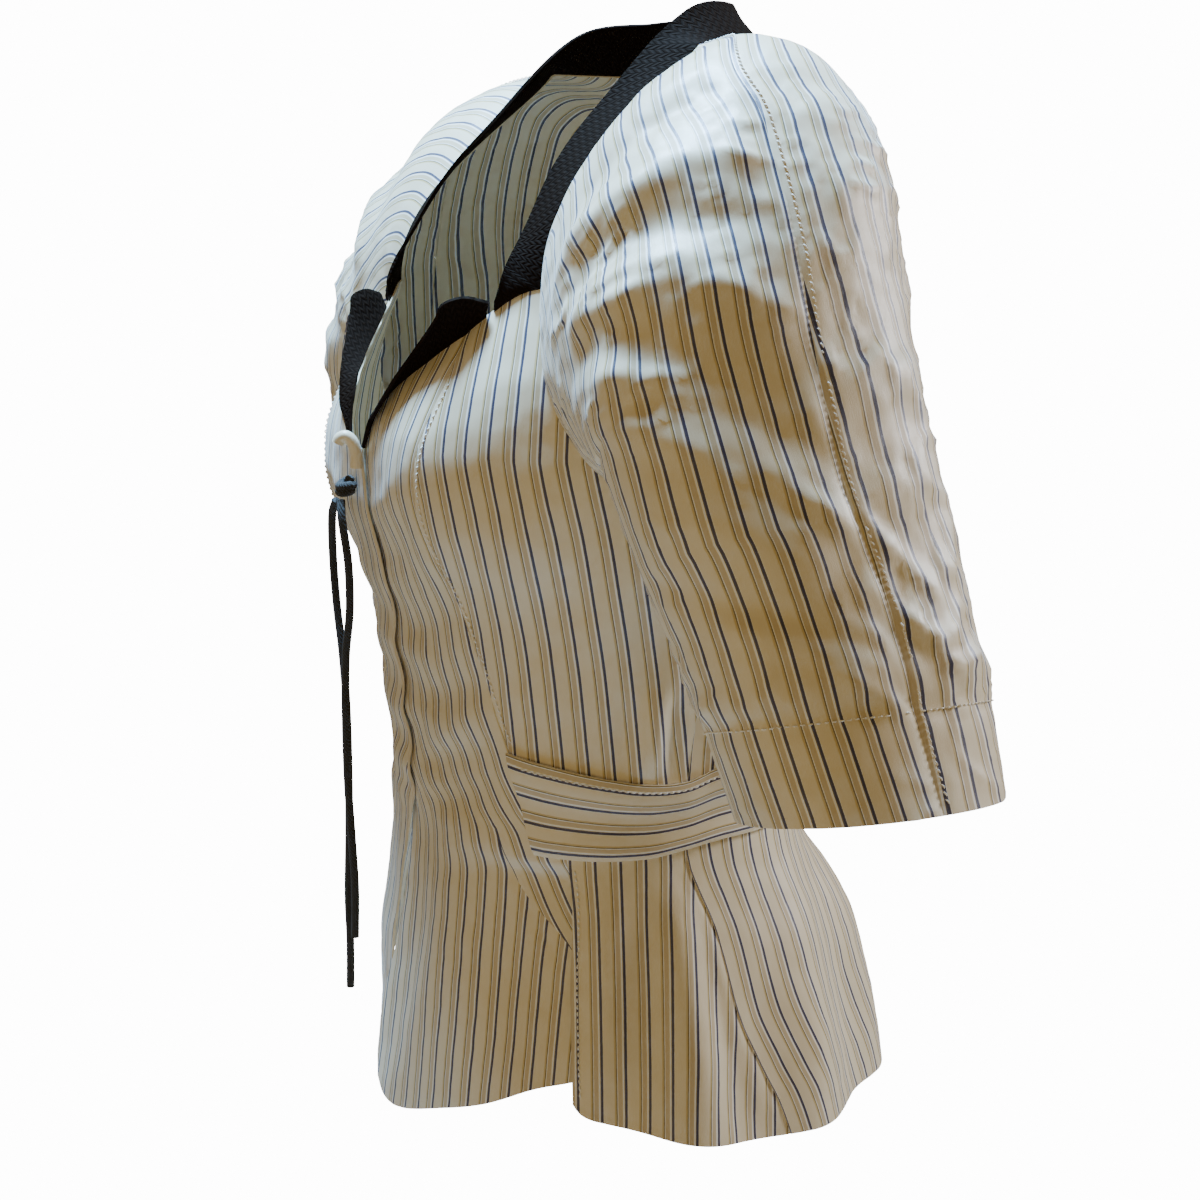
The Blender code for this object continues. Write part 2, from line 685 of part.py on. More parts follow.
def build_collar():
    """The upper band of trim, which stands inside the neckline from notch to notch."""
    edge = []
    for degrees in (40.5, 47.0):
        edge.append(body_surface(math.radians(degrees), smooth_value(NECK_FRONT, degrees, 1)))
    for front in (True, False):
        for turn in spaced_turns(0, front)[0][0 if front else 1:]:
            edge.append(sleeve_surface(turn, 0))
    for degrees in (150.0, 165.0, 180.0):
        edge.append(body_surface(math.radians(degrees), smooth_value(NECK_BACK, degrees, 1)))
    lengths = [0.0]
    for before, after in zip(edge, edge[1:]):
        lengths.append(lengths[-1] + (after - before).length)
    half = len(edge) - 1
    rows = 2

    def inner_edge(share):
        return Vector([smooth_value(COLLAR_INNER, share, column) for column in (1, 2, 3)])

    def place(column, row):
        station = half - abs(column - half)
        side = 1 if column <= half else -1
        share = lengths[station] / lengths[-1]
        outer, inner = edge[station], inner_edge(share)
        across = inner - outer
        start = min(2 * SEAM_GAP / across.length, 0.4)
        point = outer + across * (start + (1 - start) * row / rows)
        along = edge[min(station + 1, half)] - edge[max(station - 1, 0)]
        if station == half:
            along.z = 0
        normal = along.cross(across).normalized()
        if station == half:
            normal.x = 0
        point.x *= side
        normal.x *= side
        return point, normal

    cloth_wall("collar", 2 * half, rows, place, TRIM_WALL, TRIM)


def build_lapel(name, edge_seam, over, mirrored):
    """The lower band of trim, from the closing edge up to its corner and the notch."""
    edge = []
    for share in FRONT_COLUMNS[2:]:
        z = neck_top(share, edge_seam, PRINCESS_SEAM, NECK_FRONT)
        start, end = smooth_angle(edge_seam, z), smooth_angle(PRINCESS_SEAM, z)
        angle = start + (end - start) * share
        lift = lap_height(angle) if over else 0.0
        edge.append(body_surface(angle, z) + body_normal(angle, z) * lift)
    edge.append(body_surface(math.radians(38.5), smooth_value(NECK_FRONT, 38.5, 1)))
    lengths = [0.0]
    for before, after in zip(edge, edge[1:]):
        lengths.append(lengths[-1] + (after - before).length)
    columns = len(edge) - 1
    rows = 2

    def place(column, row):
        share = lengths[column] / lengths[-1]
        inner = Vector([smooth_value(LAPEL_INNER, share, item) for item in (1, 2, 3)])
        across = inner - edge[column]
        start = min(2 * SEAM_GAP / across.length, 0.4)
        point = edge[column] + across * (start + (1 - start) * row / rows)
        along = edge[min(column + 1, columns)] - edge[max(column - 1, 0)]
        return point, along.cross(across).normalized()

    cloth_wall(name, columns, rows, place, TRIM_WALL, TRIM, mirrored)


def build_tab():
    """The rolled end of the right front's binding, at the top of the closing edge."""
    tab = bmesh.new()
    bmesh.ops.create_cone(tab, cap_ends=True, segments=14, radius1=TAB_RADIUS,
                          radius2=TAB_RADIUS * 0.8, depth=TAB_LENGTH)
    middle = Vector((0.0085, -0.1416, -0.2010))
    for point in tab.verts:
        point.co.x *= 1.15
        point.co += middle
    finish_object("neck_tab", tab, COTTON)


def build_knot():
    knot = bmesh.new()
    bmesh.ops.create_uvsphere(knot, u_segments=12, v_segments=8, radius=KNOT_RADIUS)
    for point in knot.verts:
        point.co.z *= 1.15
        point.co += KNOT_CENTRE
    finish_object("tie_knot", knot, TRIM)


def build_cord(name, route):
    """A strand of the tie as a round tube through the route's own points."""
    keyed = [(index, *point) for index, point in enumerate(route)]
    curve = bpy.data.curves.new(name, "CURVE")
    curve.dimensions = "3D"
    curve.bevel_depth = CORD_DIAMETER / 2
    curve.bevel_resolution = 2
    curve.use_fill_caps = True
    spline = curve.splines.new("POLY")
    spline.points.add(CORD_POINTS - 1)
    for index in range(CORD_POINTS):
        key = (len(route) - 1) * index / (CORD_POINTS - 1)
        spline.points[index].co = (*[smooth_value(keyed, key, c) for c in (1, 2, 3)], 1.0)
    curve.materials.append(TRIM)
    jacket.objects.link(bpy.data.objects.new(name, curve))


for item in list(bpy.data.objects):
    bpy.data.objects.remove(item, do_unlink=True)
jacket = bpy.data.collections.new("striped_jacket")
bpy.context.scene.collection.children.link(jacket)
COTTON = cloth_material("striped_cotton", IVORY, COTTON_ROUGHNESS)
TRIM = cloth_material("black_trim", BLACK, TRIM_ROUGHNESS)

for side_name, is_mirrored in (("left", False), ("right", True)):
    front_edge = RIGHT_FRONT_EDGE if is_mirrored else LEFT_FRONT_EDGE
    front_panel("front_" + side_name, front_edge, is_mirrored, is_mirrored)
    seamed_panel("side_panel_" + side_name, side_tops(), PRINCESS_SEAM, SIDE_SEAM, True,
                 is_mirrored)
    seamed_panel("back_" + side_name, back_tops(), SIDE_SEAM, CENTRE_BACK, False,
                 is_mirrored)
    sleeve_piece("sleeve_front_" + side_name, True, is_mirrored)
    sleeve_piece("sleeve_back_" + side_name, False, is_mirrored)
    build_lapel("lapel_" + side_name, front_edge, is_mirrored, is_mirrored)
build_belt()
build_collar()
build_tab()
build_knot()
build_cord("tie_strand_left", STRAND_LEFT)
build_cord("tie_strand_right", STRAND_RIGHT)
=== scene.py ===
import math

import bmesh
import bpy
from mathutils import Matrix, Vector, noise
from mathutils.bvhtree import BVHTree


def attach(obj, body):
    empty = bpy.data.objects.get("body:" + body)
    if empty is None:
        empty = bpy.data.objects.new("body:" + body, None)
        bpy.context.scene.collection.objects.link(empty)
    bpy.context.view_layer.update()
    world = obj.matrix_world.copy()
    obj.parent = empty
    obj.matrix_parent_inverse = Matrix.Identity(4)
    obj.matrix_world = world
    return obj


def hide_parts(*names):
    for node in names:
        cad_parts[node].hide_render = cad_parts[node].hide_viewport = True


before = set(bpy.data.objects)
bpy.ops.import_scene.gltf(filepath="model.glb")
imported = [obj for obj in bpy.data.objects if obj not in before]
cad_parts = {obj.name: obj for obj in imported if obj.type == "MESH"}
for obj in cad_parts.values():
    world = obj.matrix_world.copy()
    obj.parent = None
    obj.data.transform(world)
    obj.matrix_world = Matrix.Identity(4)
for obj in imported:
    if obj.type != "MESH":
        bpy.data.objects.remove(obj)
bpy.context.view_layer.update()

# The view: from the wearer's left and a little in front, at the height of the
# upper arm, looking slightly down. The whole jacket just fills the frame's height.
view_turn = math.radians(65)
view_fall = math.radians(11.28)
view_from = Vector((0.8610, -0.4015, -0.1000))
view_along = Vector((-math.sin(view_turn) * math.cos(view_fall),
                     math.cos(view_turn) * math.cos(view_fall), -math.sin(view_fall)))
camera_data = bpy.data.cameras.new("camera")
camera_data.lens = 54.15
camera_data.sensor_width = 36.0
camera = bpy.data.objects.new("camera", camera_data)
camera.location = view_from
camera.rotation_euler = view_along.to_track_quat("-Z", "Y").to_euler()
bpy.context.scene.collection.objects.link(camera)
bpy.context.scene.camera = camera


# The tie: a soft black cotton cord about 4 mm thick, knotted once below the top of the
# closing edge. Its two ends hang free down the front, cut bare and pressed together.
class Wire:
    """A shader socket: sums written with it become Math nodes."""

    def __init__(self, tree, socket=None):
        self.tree, self.socket = tree, socket

    def node(self, kind, settings, values, output=0):
        """Any other node: its settings first, then what goes into its sockets."""
        made = self.tree.nodes.new(kind)
        for name, value in settings.items():
            setattr(made, name, value)
        for name, value in values.items():
            if isinstance(value, Wire):
                self.tree.links.new(value.socket, made.inputs[name])
            else:
                made.inputs[name].default_value = value
        return Wire(self.tree, made.outputs[output])

    def maths(self, operation, *values):
        return self.node("ShaderNodeMath", {"operation": operation},
                         dict(enumerate((self,) + values)))

    def __add__(self, other):
        return self.maths("ADD", other)

    def __sub__(self, other):
        return self.maths("SUBTRACT", other)

    def __mul__(self, other):
        return self.maths("MULTIPLY", other)

    def __truediv__(self, other):
        return self.maths("DIVIDE", other)

    def __rsub__(self, other):
        return self.node("ShaderNodeMath", {"operation": "SUBTRACT"}, {0: other, 1: self})

    def mixed(self, first, second):
        """The first colour where this is 0, the second where it is 1."""
        return self.node("ShaderNodeMix", {"data_type": "RGBA"},
                         {0: self, 6: first, 7: second}, 2)

    def bump(self, distance, strength=1.0, normal=None):
        values = {"Height": self, "Distance": distance, "Strength": strength}
        if normal is not None:
            values["Normal"] = normal
        return self.node("ShaderNodeBump", {}, values)


def new_material(name, colour, roughness):
    material = bpy.data.materials.new(name)
    material.use_nodes = True
    shader = material.node_tree.nodes["Principled BSDF"]
    shader.inputs["Base Color"].default_value = colour
    shader.inputs["Roughness"].default_value = roughness
    return material, shader, Wire(material.node_tree)


def feed(shader, name, wire):
    wire.tree.links.new(wire.socket, shader.inputs[name])


def smooth_value(table, key, column):
    """A column of a table at a key between its rows, on a smooth curve."""
    rows = table if table[0][0] < table[-1][0] else table[::-1]
    if key <= rows[0][0]:
        return rows[0][column]
    if key >= rows[-1][0]:
        return rows[-1][column]
    low = max(k for k, row in enumerate(rows) if row[0] <= key)

    def slope(k):
        before, after = rows[max(k - 1, 0)], rows[min(k + 1, len(rows) - 1)]
        return (after[column] - before[column]) / (after[0] - before[0])

    start, end = rows[low], rows[low + 1]
    width = end[0] - start[0]
    t = (key - start[0]) / width
    return ((2 * t**3 - 3 * t**2 + 1) * start[column]
            + (t**3 - 2 * t**2 + t) * width * slope(low)
            + (3 * t**2 - 2 * t**3) * end[column]
            + (t**3 - t**2) * width * slope(low + 1))


def smooth_point(table, key):
    """The point in a table's second to fourth columns."""
    return Vector([smooth_value(table, key, column) for column in (1, 2, 3)])


def smooth_line(route, count):
    """Points on a smooth curve through all the points of a route."""
    keyed = [(index, *point) for index, point in enumerate(route)]
    return [smooth_point(keyed, (len(route) - 1) * k / (count - 1)) for k in range(count)]


def walk(points):
    """How far along a line of points each of them is."""
    walked = [0.0]
    for before, after in zip(points, points[1:]):
        walked.append(walked[-1] + (after - before).length)
    return walked


cord_black, cord_shader, wire = new_material("black cotton cord", (0.012, 0.012, 0.013, 1), 0.8)
place = wire.node("ShaderNodeTexCoord", {}, {}, "Object")
strands = wire.node("ShaderNodeTexWave", {"bands_direction": "DIAGONAL"},
                    {"Vector": place, "Scale": 330.0, "Distortion": 2.0,
                     "Detail": 2.0, "Detail Scale": 3.0}, "Fac")
fuzz = wire.node("ShaderNodeTexNoise", {}, {"Vector": place, "Scale": 2600.0, "Detail": 3.0}, 0)
feed(cord_shader, "Normal", (strands + fuzz * 0.5).bump(0.0006, 0.8))
# The colour is lighter on the crests of the twisted strands and darker in the grooves between
# them, which is painted shade, mixed with the fibres' own uneven fuzz.
feed(cord_shader, "Base Color",
     (strands * 0.5 + fuzz * 0.5).mixed((0.006, 0.006, 0.007, 1), (0.035, 0.034, 0.034, 1)))
cord_shader.inputs["Sheen Weight"].default_value = 0.08


def in_metres(lengths, *rows):
    """A table whose rows are written in millimetres in the columns listed first."""
    return tuple(tuple(value / 1000 if column in lengths else value
                       for column, value in enumerate(row)) for row in rows)


CORD_DIAMETER = 0.0042
CORD_POINTS = 110
# x, y, z of each strand, from the knot down
STRAND_LEFT = in_metres((0, 1, 2),
    (-3, -143.8, -227), (-8.5, -144.4, -236), (-13, -143.2, -258), (-11.5, -142.4, -282),
    (-6, -141.8, -306), (-3, -141.3, -335), (-2.8, -141.3, -370), (-3.4, -141.8, -402),
    (-5, -142.6, -435), (-4, -142.6, -460), (-4.6, -143, -486))
STRAND_RIGHT = in_metres((0, 1, 2),
    (3, -143, -226.5), (7, -144, -236), (9, -142, -258), (7.5, -141.5, -282), (3, -142.8, -306),
    (2, -143.4, -335), (2.2, -143.4, -370), (4, -142.6, -402), (5.6, -142.1, -428),
    (4.8, -142.6, -455))


def hanging_strand(name, route, node):
    line = smooth_line(route, CORD_POINTS)
    curve = bpy.data.curves.new(name, "CURVE")
    curve.dimensions = "3D"
    curve.bevel_depth = CORD_DIAMETER / 2
    curve.bevel_resolution = 4
    curve.use_fill_caps = True
    spline = curve.splines.new("POLY")
    spline.points.add(CORD_POINTS - 1)
    for point, place in zip(spline.points, line):
        point.co = (*place, 1.0)
    spline.use_smooth = True
    curve.materials.append(cord_black)
    strand = bpy.data.objects.new(name, curve)
    bpy.context.scene.collection.objects.link(strand)
    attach(strand, "root")
    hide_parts(node)
    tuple(line[0])
    round(walk(line)[-1], 3)


hanging_strand("tie_cord_left", STRAND_LEFT, "tie_strand_left")
hanging_strand("tie_cord_right", STRAND_RIGHT, "tie_strand_right")

# The knot is the same cord wound once round itself and pulled down tight, so it reads as
# a small upright bead of turns just under the tab at the top of the closing edge.
KNOT_CENTRE = Vector((0.0, -0.1395, -0.2205))
KNOT_TURN_RADIUS = 0.0026
KNOT_CORD = 0.0048
KNOT_HEIGHT = 0.0064
KNOT_POINTS = 90
KNOT_TURNS, KNOT_FIRST_ANGLE, KNOT_WOBBLE = 2.4, 0.6, 0.0009


def finish_piece(name, mesh_data, material, node, crease=50):
    """The mesh as a piece of the garment, in place of a node of the solids if it has one."""
    mesh = bpy.data.meshes.new(name)
    mesh_data.to_mesh(mesh)
    mesh_data.free()
    mesh.materials.append(material)
    mesh.shade_smooth()
    mesh.set_sharp_from_angle(angle=math.radians(crease))
    piece = bpy.data.objects.new(name, mesh)
    bpy.context.scene.collection.objects.link(piece)
    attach(piece, "root")
    if node:
        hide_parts(node)
    return piece


def tube_mesh(line, radius, sides):
    """A round tube along a line of points, as a bmesh with capped ends."""
    tube = bmesh.new()
    rings = []
    for index, centre in enumerate(line):
        before, after = line[max(index - 1, 0)], line[min(index + 1, len(line) - 1)]
        turned = (after - before).to_track_quat("Z", "Y").to_matrix().to_4x4()
        ring = bmesh.ops.create_circle(tube, segments=sides, radius=radius,
                                       matrix=Matrix.Translation(centre) @ turned)
        rings.append(ring["verts"])
    for low, high in zip(rings, rings[1:]):
        edges = {edge for ring in (low, high) for vert in ring for edge in vert.link_edges
                 if edge.other_vert(vert) in ring}
        bmesh.ops.bridge_loops(tube, edges=list(edges))
    bmesh.ops.holes_fill(tube, edges=[edge for edge in tube.edges if edge.is_boundary])
    bmesh.ops.recalc_face_normals(tube, faces=tube.faces[:])
    return tube


knot_line = []
for index in range(KNOT_POINTS):
    share = index / (KNOT_POINTS - 1)
    turn = share * KNOT_TURNS * 2 * math.pi + KNOT_FIRST_ANGLE
    wide = KNOT_TURN_RADIUS * (0.75 + 0.5 * math.sin(math.pi * share))
    height = KNOT_HEIGHT * (0.5 - share) + KNOT_WOBBLE * math.sin(turn)
    knot_line.append(KNOT_CENTRE + Vector((wide * math.cos(turn), wide * math.sin(turn), height)))
finish_piece("wound_knot", tube_mesh(knot_line, KNOT_CORD / 2, 12), cord_black, "tie_knot")


# The fronts: striped cotton, cut with the stripes along the princess seam and darted under
# the waist. Each runs from the closing edge to the princess seam, and below the waist it
# passes under the side panel, so that the peplum is split there.
COTTON_WALL = 0.0014
LAP = 0.0032
STRIPE_REPEAT = 0.0123
NAVY_MIDDLE = 0.0004
PLAIN_GROUND = 0.0037
IVORY = (0.80, 0.71, 0.52, 1)
TAUPE = (0.57, 0.47, 0.30, 1)
GOLD = (0.58, 0.45, 0.20, 1)
OLIVE = (0.09, 0.068, 0.030, 1)
NAVY = (0.007, 0.011, 0.070, 1)
EDGE_WHITE = (0.88, 0.88, 0.86, 1)
# shares of the repeat, colour
STRIPES = ((0.70, 0.88, TAUPE), (0.627, 0.665, OLIVE), (0.672, 0.70, EDGE_WHITE),
           (0.90, 0.955, EDGE_WHITE), (0.085, 0.10, EDGE_WHITE))


def cloth_directions(wire):
    """The place on the cloth in metres: its first and its second direction."""
    cloth = wire.node("ShaderNodeUVMap", {"uv_map": "cloth"}, {})
    return [wire.node("ShaderNodeSeparateXYZ", {}, {0: cloth}, output) for output in (0, 1)]


def thread_noise(first, second, detail=2.0):
    """Fine unevenness, drawn out along the threads by how its two directions are scaled."""
    spread = first.node("ShaderNodeCombineXYZ", {}, {0: first, 1: second})
    return first.node("ShaderNodeTexNoise", {"noise_dimensions": "2D"},
                      {"Vector": spread, "Scale": 1.0, "Detail": detail}, 0)


def cotton_material(name):
    """Sateen striped in the weave: navy, ivory, gold with an olive edge, taupe, white."""
    material, shader, wire = new_material(name, IVORY, 0.5)
    across, along = cloth_directions(wire)
    place = wire.node("ShaderNodeTexCoord", {}, {}, "Object")
    yarn = thread_noise(across * 5200.0, along * 260.0)
    stripe = (across / STRIPE_REPEAT + (yarn - 0.5) * 0.012).maths("FRACT")

    def band(low, high, soft=0.006):
        rise = ((stripe - low) / soft + 0.5).maths("MAXIMUM", 0.0).maths("MINIMUM", 1.0)
        fall = ((high - stripe) / soft + 0.5).maths("MAXIMUM", 0.0).maths("MINIMUM", 1.0)
        return rise * fall

    tone = wire.node("ShaderNodeTexNoise", {}, {"Vector": place, "Scale": 9.0, "Detail": 3.0}, 0)
    base = (tone * 1.4 - 0.2).maths("MINIMUM", 1.0).mixed(
        (IVORY[0] * 0.93, IVORY[1] * 0.92, IVORY[2] * 0.90, 1), IVORY)
    colour = band(0.56, 0.64, 0.03).mixed(base, GOLD)
    for start, end, paint in STRIPES:
        colour = band(start, end).mixed(colour, paint)
    colour = (band(0.0, 0.085) + band(0.97, 1.0)).mixed(colour, NAVY)
    colour = (yarn * 0.16).mixed(colour, (0.42, 0.36, 0.26, 1))
    feed(shader, "Base Color", colour)
    feed(shader, "Roughness", band(0.70, 0.88) * 0.10 + yarn * 0.15 + 0.34)
    weave = thread_noise(across * 2600.0, along * 2600.0, 1.0)
    crumple = wire.node("ShaderNodeTexNoise", {"noise_type": "RIDGED_MULTIFRACTAL"},
                        {"Vector": place, "Scale": 34.0, "Detail": 3.0, "Roughness": 0.45}, 0)
    feed(shader, "Normal", (weave * 0.5 + yarn).bump(0.00012, 0.55, crumple.bump(0.0011, 0.35)))
    shader.inputs["Sheen Weight"].default_value = 0.25
    shader.inputs["Sheen Roughness"].default_value = 0.45
    shader.inputs["Specular IOR Level"].default_value = 0.55
    return material


striped_cotton = cotton_material("striped cotton sateen")

# z, half width, front depth, back depth, squareness
BODY_FORM = in_metres((0, 1, 2, 3),
    (0, 98, 50, 70, 2.2), (-50, 125, 72, 88, 2.2), (-100, 144, 88, 100, 2.2),
    (-130, 150, 99, 103, 2.2), (-150, 152, 111, 104, 2.2), (-167, 153, 121, 103, 2.2),
    (-185, 153, 128, 102, 2.2), (-205, 153, 130, 100, 2.25), (-235, 150, 128, 96, 2.25),
    (-270, 142, 119, 91, 2.2), (-310, 133, 113, 87, 2.3), (-350, 126, 109, 86, 2.3),
    (-380, 123, 107, 88, 2.3), (-405, 127, 107, 97, 2.2), (-450, 144, 113, 130, 2.05),
    (-500, 160, 124, 144, 2), (-550, 170, 133, 150, 2))
# the largest folds, alike on both halves: degrees, z, turn from level, length, width, depth
BODY_FOLDS = in_metres((1, 3, 4, 5),
    (4, -266, 4, 34, 10, 2.6), (4, -300, -5, 36, 10, 2.8), (4, -334, 5, 38, 10, 3),
    (4, -366, -6, 36, 9, 2.6), (22, -283, 24, 34, 10, -1.8), (24, -318, 20, 36, 10, -2),
    (26, -352, 16, 36, 10, -2), (78, -318, 78, 34, 10, 2.6), (88, -312, 96, 36, 10, -3),
    (98, -316, 84, 36, 10, 3), (112, -316, 98, 36, 11, -2.6), (126, -314, 82, 38, 11, 2.6),
    (146, -300, 70, 40, 12, -2.4), (164, -305, 100, 40, 12, 2.2))
FOLD_RADIUS = 0.125
BUST_X, BUST_Z, BUST_RISE, BUST_SPREAD = 0.076, -0.214, 0.010, 0.034
FLUTE_DEPTH, FLUTE_STEP = 0.0036, math.radians(27)
FLUTE_START_Z, FLUTE_FULL_Z = -0.405, -0.520


def ease(value):
    t = min(max(value, 0.0), 1.0)
    return t * t * (3 - 2 * t)


def fold_height(side, up, turn, length, width, depth):
    """A soft ridge, or a trough if the depth is negative, fading at its ends."""
    if abs(side) + abs(up) > 2.5 * (length + width):
        return 0.0
    cosine, sine = math.cos(math.radians(turn)), math.sin(math.radians(turn))
    along = (side * cosine + up * sine) / length
    across = (up * cosine - side * sine) / width
    return depth * math.exp(-across**2 - along**4)


def body_folds(folds, angle, z):
    """The height of all of a table's folds at one place of the body."""
    height = 0.0
    for degrees, fold_z, *shape in folds:
        if abs(z - fold_z) < 0.10:
            side = (angle - math.radians(degrees)) * FOLD_RADIUS
            height += fold_height(side, z - fold_z, *shape)
    return height


def body_surface(angle, z):
    """The worn outer face of the body, at an angle from the centre front."""
    half_width, front, back, power = (smooth_value(BODY_FORM, z, c) for c in (1, 2, 3, 4))
    sine, cosine = math.sin(angle), math.cos(angle)
    depth = front if cosine > 0 else back
    reach = (abs(sine) / half_width) ** power + (abs(cosine) / depth) ** power
    radius = reach ** (-1 / power)
    hang = ease((z - FLUTE_START_Z) / (FLUTE_FULL_Z - FLUTE_START_Z))
    sideways = ease((angle - math.radians(50)) / math.radians(20))
    radius += FLUTE_DEPTH * hang * sideways * math.cos(2 * math.pi * angle / FLUTE_STEP)
    radius += body_folds(BODY_FOLDS, abs(angle), z)
    point = Vector((radius * sine, -radius * cosine, z))
    if cosine > 0:
        across, upward = (abs(point.x) - BUST_X) / BUST_SPREAD, (z - BUST_Z) / BUST_SPREAD
        point.y -= BUST_RISE * math.exp(-(across**2 + upward**2) / 2)
    return point


def body_normal(angle, z):
    side = body_surface(angle + 0.02, z) - body_surface(angle - 0.02, z)
    up = body_surface(angle, z + 0.002) - body_surface(angle, z - 0.002)
    normal = side.cross(up).normalized()
    if angle > math.pi - 0.01:
        normal.x = 0
    return normal.normalized()


def girth(start, end, z):
    """The length of cloth round the body at one height, from one angle to another."""
    walked = walk([body_surface(start + (end - start) * k / 6, z) for k in range(7)])[-1]
    return walked if end >= start else -walked


def away_from_axis(point):
    return Vector((point.x, point.y, 0))


def cloth_piece(name, node, counts, place, stripe, lift, mirrored=False,
                thickness=COTTON_WALL, material=striped_cotton,
                outwards=away_from_axis, cut=None):
    """A panel of cloth: a grid laid on its form, lifted by its folds, with an inner face.
    place(share, rise) gives a point, stripe the place on the cloth, lift the fold's height.
    Beyond the share named cut, the stripes may run another way."""
    sheet = bmesh.new()
    bmesh.ops.create_grid(sheet, x_segments=counts[0], y_segments=counts[1], size=0.5)
    sheet.verts.index_update()
    cloth = sheet.loops.layers.uv.new("cloth")
    shares = {}
    for point in sheet.verts:
        share, rise = point.co.x + 0.5, point.co.y + 0.5
        shares[point.index] = (share, rise)
        point.co = place(share, rise)
    sheet.normal_update()
    middle = min(sheet.verts, key=lambda v: (shares[v.index][0] - 0.5) ** 2
                 + (shares[v.index][1] - 0.5) ** 2)
    if middle.normal.dot(outwards(middle.co)) < 0:
        bmesh.ops.reverse_faces(sheet, faces=sheet.faces[:])
        sheet.normal_update()
    uvs = {}
    for face in sheet.faces:
        beyond = cut is not None and sum(shares[v.index][0] for v in face.verts) / 4 > cut
        for loop in face.loops:
            key = (loop.vert.index, beyond)
            if key not in uvs:
                other = {"beyond": beyond} if cut is not None else {}
                uvs[key] = stripe(*shares[loop.vert.index], loop.vert.co, **other)
            loop[cloth].uv = uvs[key]
    moved = [(v, v.co + v.normal * lift(*shares[v.index], v.co)) for v in sheet.verts]
    for point, target in moved:
        point.co = target
    sheet.normal_update()
    area = sum(face.calc_area() for face in sheet.faces)
    inner = {v.co[:]: v.co - v.normal * thickness for v in sheet.verts}
    outer = set(sheet.faces)
    made = bmesh.ops.extrude_face_region(sheet, geom=sheet.faces[:], use_keep_orig=True)
    for item in made["geom"]:
        if isinstance(item, bmesh.types.BMVert):
            item.co = inner[item.co[:]]
    for face in set(sheet.faces) - outer - set(made["geom"]):
        for loop in face.loops:
            loop[cloth].uv.x = PLAIN_GROUND
    if mirrored:
        for point in sheet.verts:
            point.co.x = -point.co.x
    bmesh.ops.recalc_face_normals(sheet, faces=sheet.faces[:])
    if sheet.calc_volume(signed=True) < 0:
        bmesh.ops.reverse_faces(sheet, faces=sheet.faces[:])
    piece = finish_piece(name, sheet, material, node)
    return piece


# height against degrees from the centre front
LEFT_FRONT_EDGE = in_metres((0,),
    (-545, -1), (-520, -3.8), (-495, -4.5), (-450, -3.6), (-400, -3), (-350, -4.5), (-200, -4.5))
RIGHT_FRONT_EDGE = in_metres((0,),
    (-545, 8), (-520, 6.8), (-495, 6.4), (-450, 5.4), (-405, 2.4), (-380, -3.5), (-350, -4.5),
    (-300, -4.5), (-260, -6.5), (-200, -4.5))
PRINCESS_SEAM = in_metres((0,),
    (-545, 60.5), (-510, 60), (-458, 59), (-394, 57.5), (-375, 49), (-342, 44), (-325, 41.4),
    (-303, 38.4), (-278, 35.2), (-255, 32.6), (-230, 31), (-205, 30.6), (-180, 32), (-160, 33.4),
    (-140, 33.4))
# degrees from the centre front against height
NECK_FRONT = in_metres((1,),
    (-8, -201), (2, -199), (5, -189), (8, -177), (18, -163), (28.6, -149), (33.4, -142),
    (42, -130), (48, -123.5), (53, -121))
HEM = in_metres((1,),
    (-6, -512), (-3.5, -526), (0, -538), (6, -543), (14, -541), (26, -531), (38, -519), (49, -502),
    (60, -492))
WAIST_Z = -0.394
VENT_UNDERLAP, VENT_DEPTH, VENT_STEP, VENT_RUN = math.radians(6), 0.0042, 0.010, 0.026
LAP_FULL, LAP_FADE = math.radians(7), math.radians(14)
RIGHT_FRONT_FALL, FALL_START_Z, FALL_RUN = 0.015, -0.455, 0.080
FRONT_COLUMNS, FRONT_ROWS, DART_COLUMN = 56, 128, 40
PEPLUM_SHARE = 0.36
# The dart under the waist, and the stripe that runs down to it from the neckline and
# then on to the hem: height against degrees.
FRONT_DART = in_metres((0,),
    (-545, 59.2), (-470, 59.2), (-459, 58.8), (-438, 53.6), (-422, 48.2), (-402, 42.9),
    (-382, 39.2), (-372, 35.5), (-355, 31), (-321, 26.2), (-281, 24.1), (-242, 22.6), (-205, 21.5),
    (-180, 22.6), (-140, 24))
FRONT_GRAIN = in_metres((0,),
    (-545, 41), (-486, 41), (-449, 40.8), (-408, 41.6), (-391, 40.6)) + FRONT_DART[6:]
DART_TOP_Z, DART_BOTTOM_Z = -0.382, -0.459
DART_SHARE = DART_COLUMN / FRONT_COLUMNS
SEAM_RADIUS, DART_RADIUS = 0.12, 0.10
# the smaller folds of a front: degrees, z, turn from level, length, width, depth
FRONT_FOLDS = in_metres((1, 3, 4, 5),
    (32, -166, 84, 14, 3, 2.2), (36.5, -168, 86, 14, 2.8, -1.6), (22, -340, 28, 40, 8, 1.4),
    (26, -372, 22, 36, 8, -1.4), (18, -385, -4, 40, 8, 1.6), (30, -395, 12, 34, 8, 1.4),
    (20, -440, 80, 50, 16, 2), (42, -470, 84, 50, 15, -2.4), (8, -480, 82, 50, 14, -1.8),
    (24, -240, 30, 30, 10, -1.2), (14, -225, 20, 26, 8, 1.4))


def seam_angle(seam, z):
    return math.radians(smooth_value(seam, z, 1))


def front_angle(share, edge, z):
    """A front's columns: one of them follows the dart."""
    start, dart, end = (seam_angle(seam, z) for seam in (edge, FRONT_DART, PRINCESS_SEAM))
    if share < DART_SHARE:
        return start + (dart - start) * share / DART_SHARE
    return dart + (end - dart) * (share - DART_SHARE) / (1 - DART_SHARE)


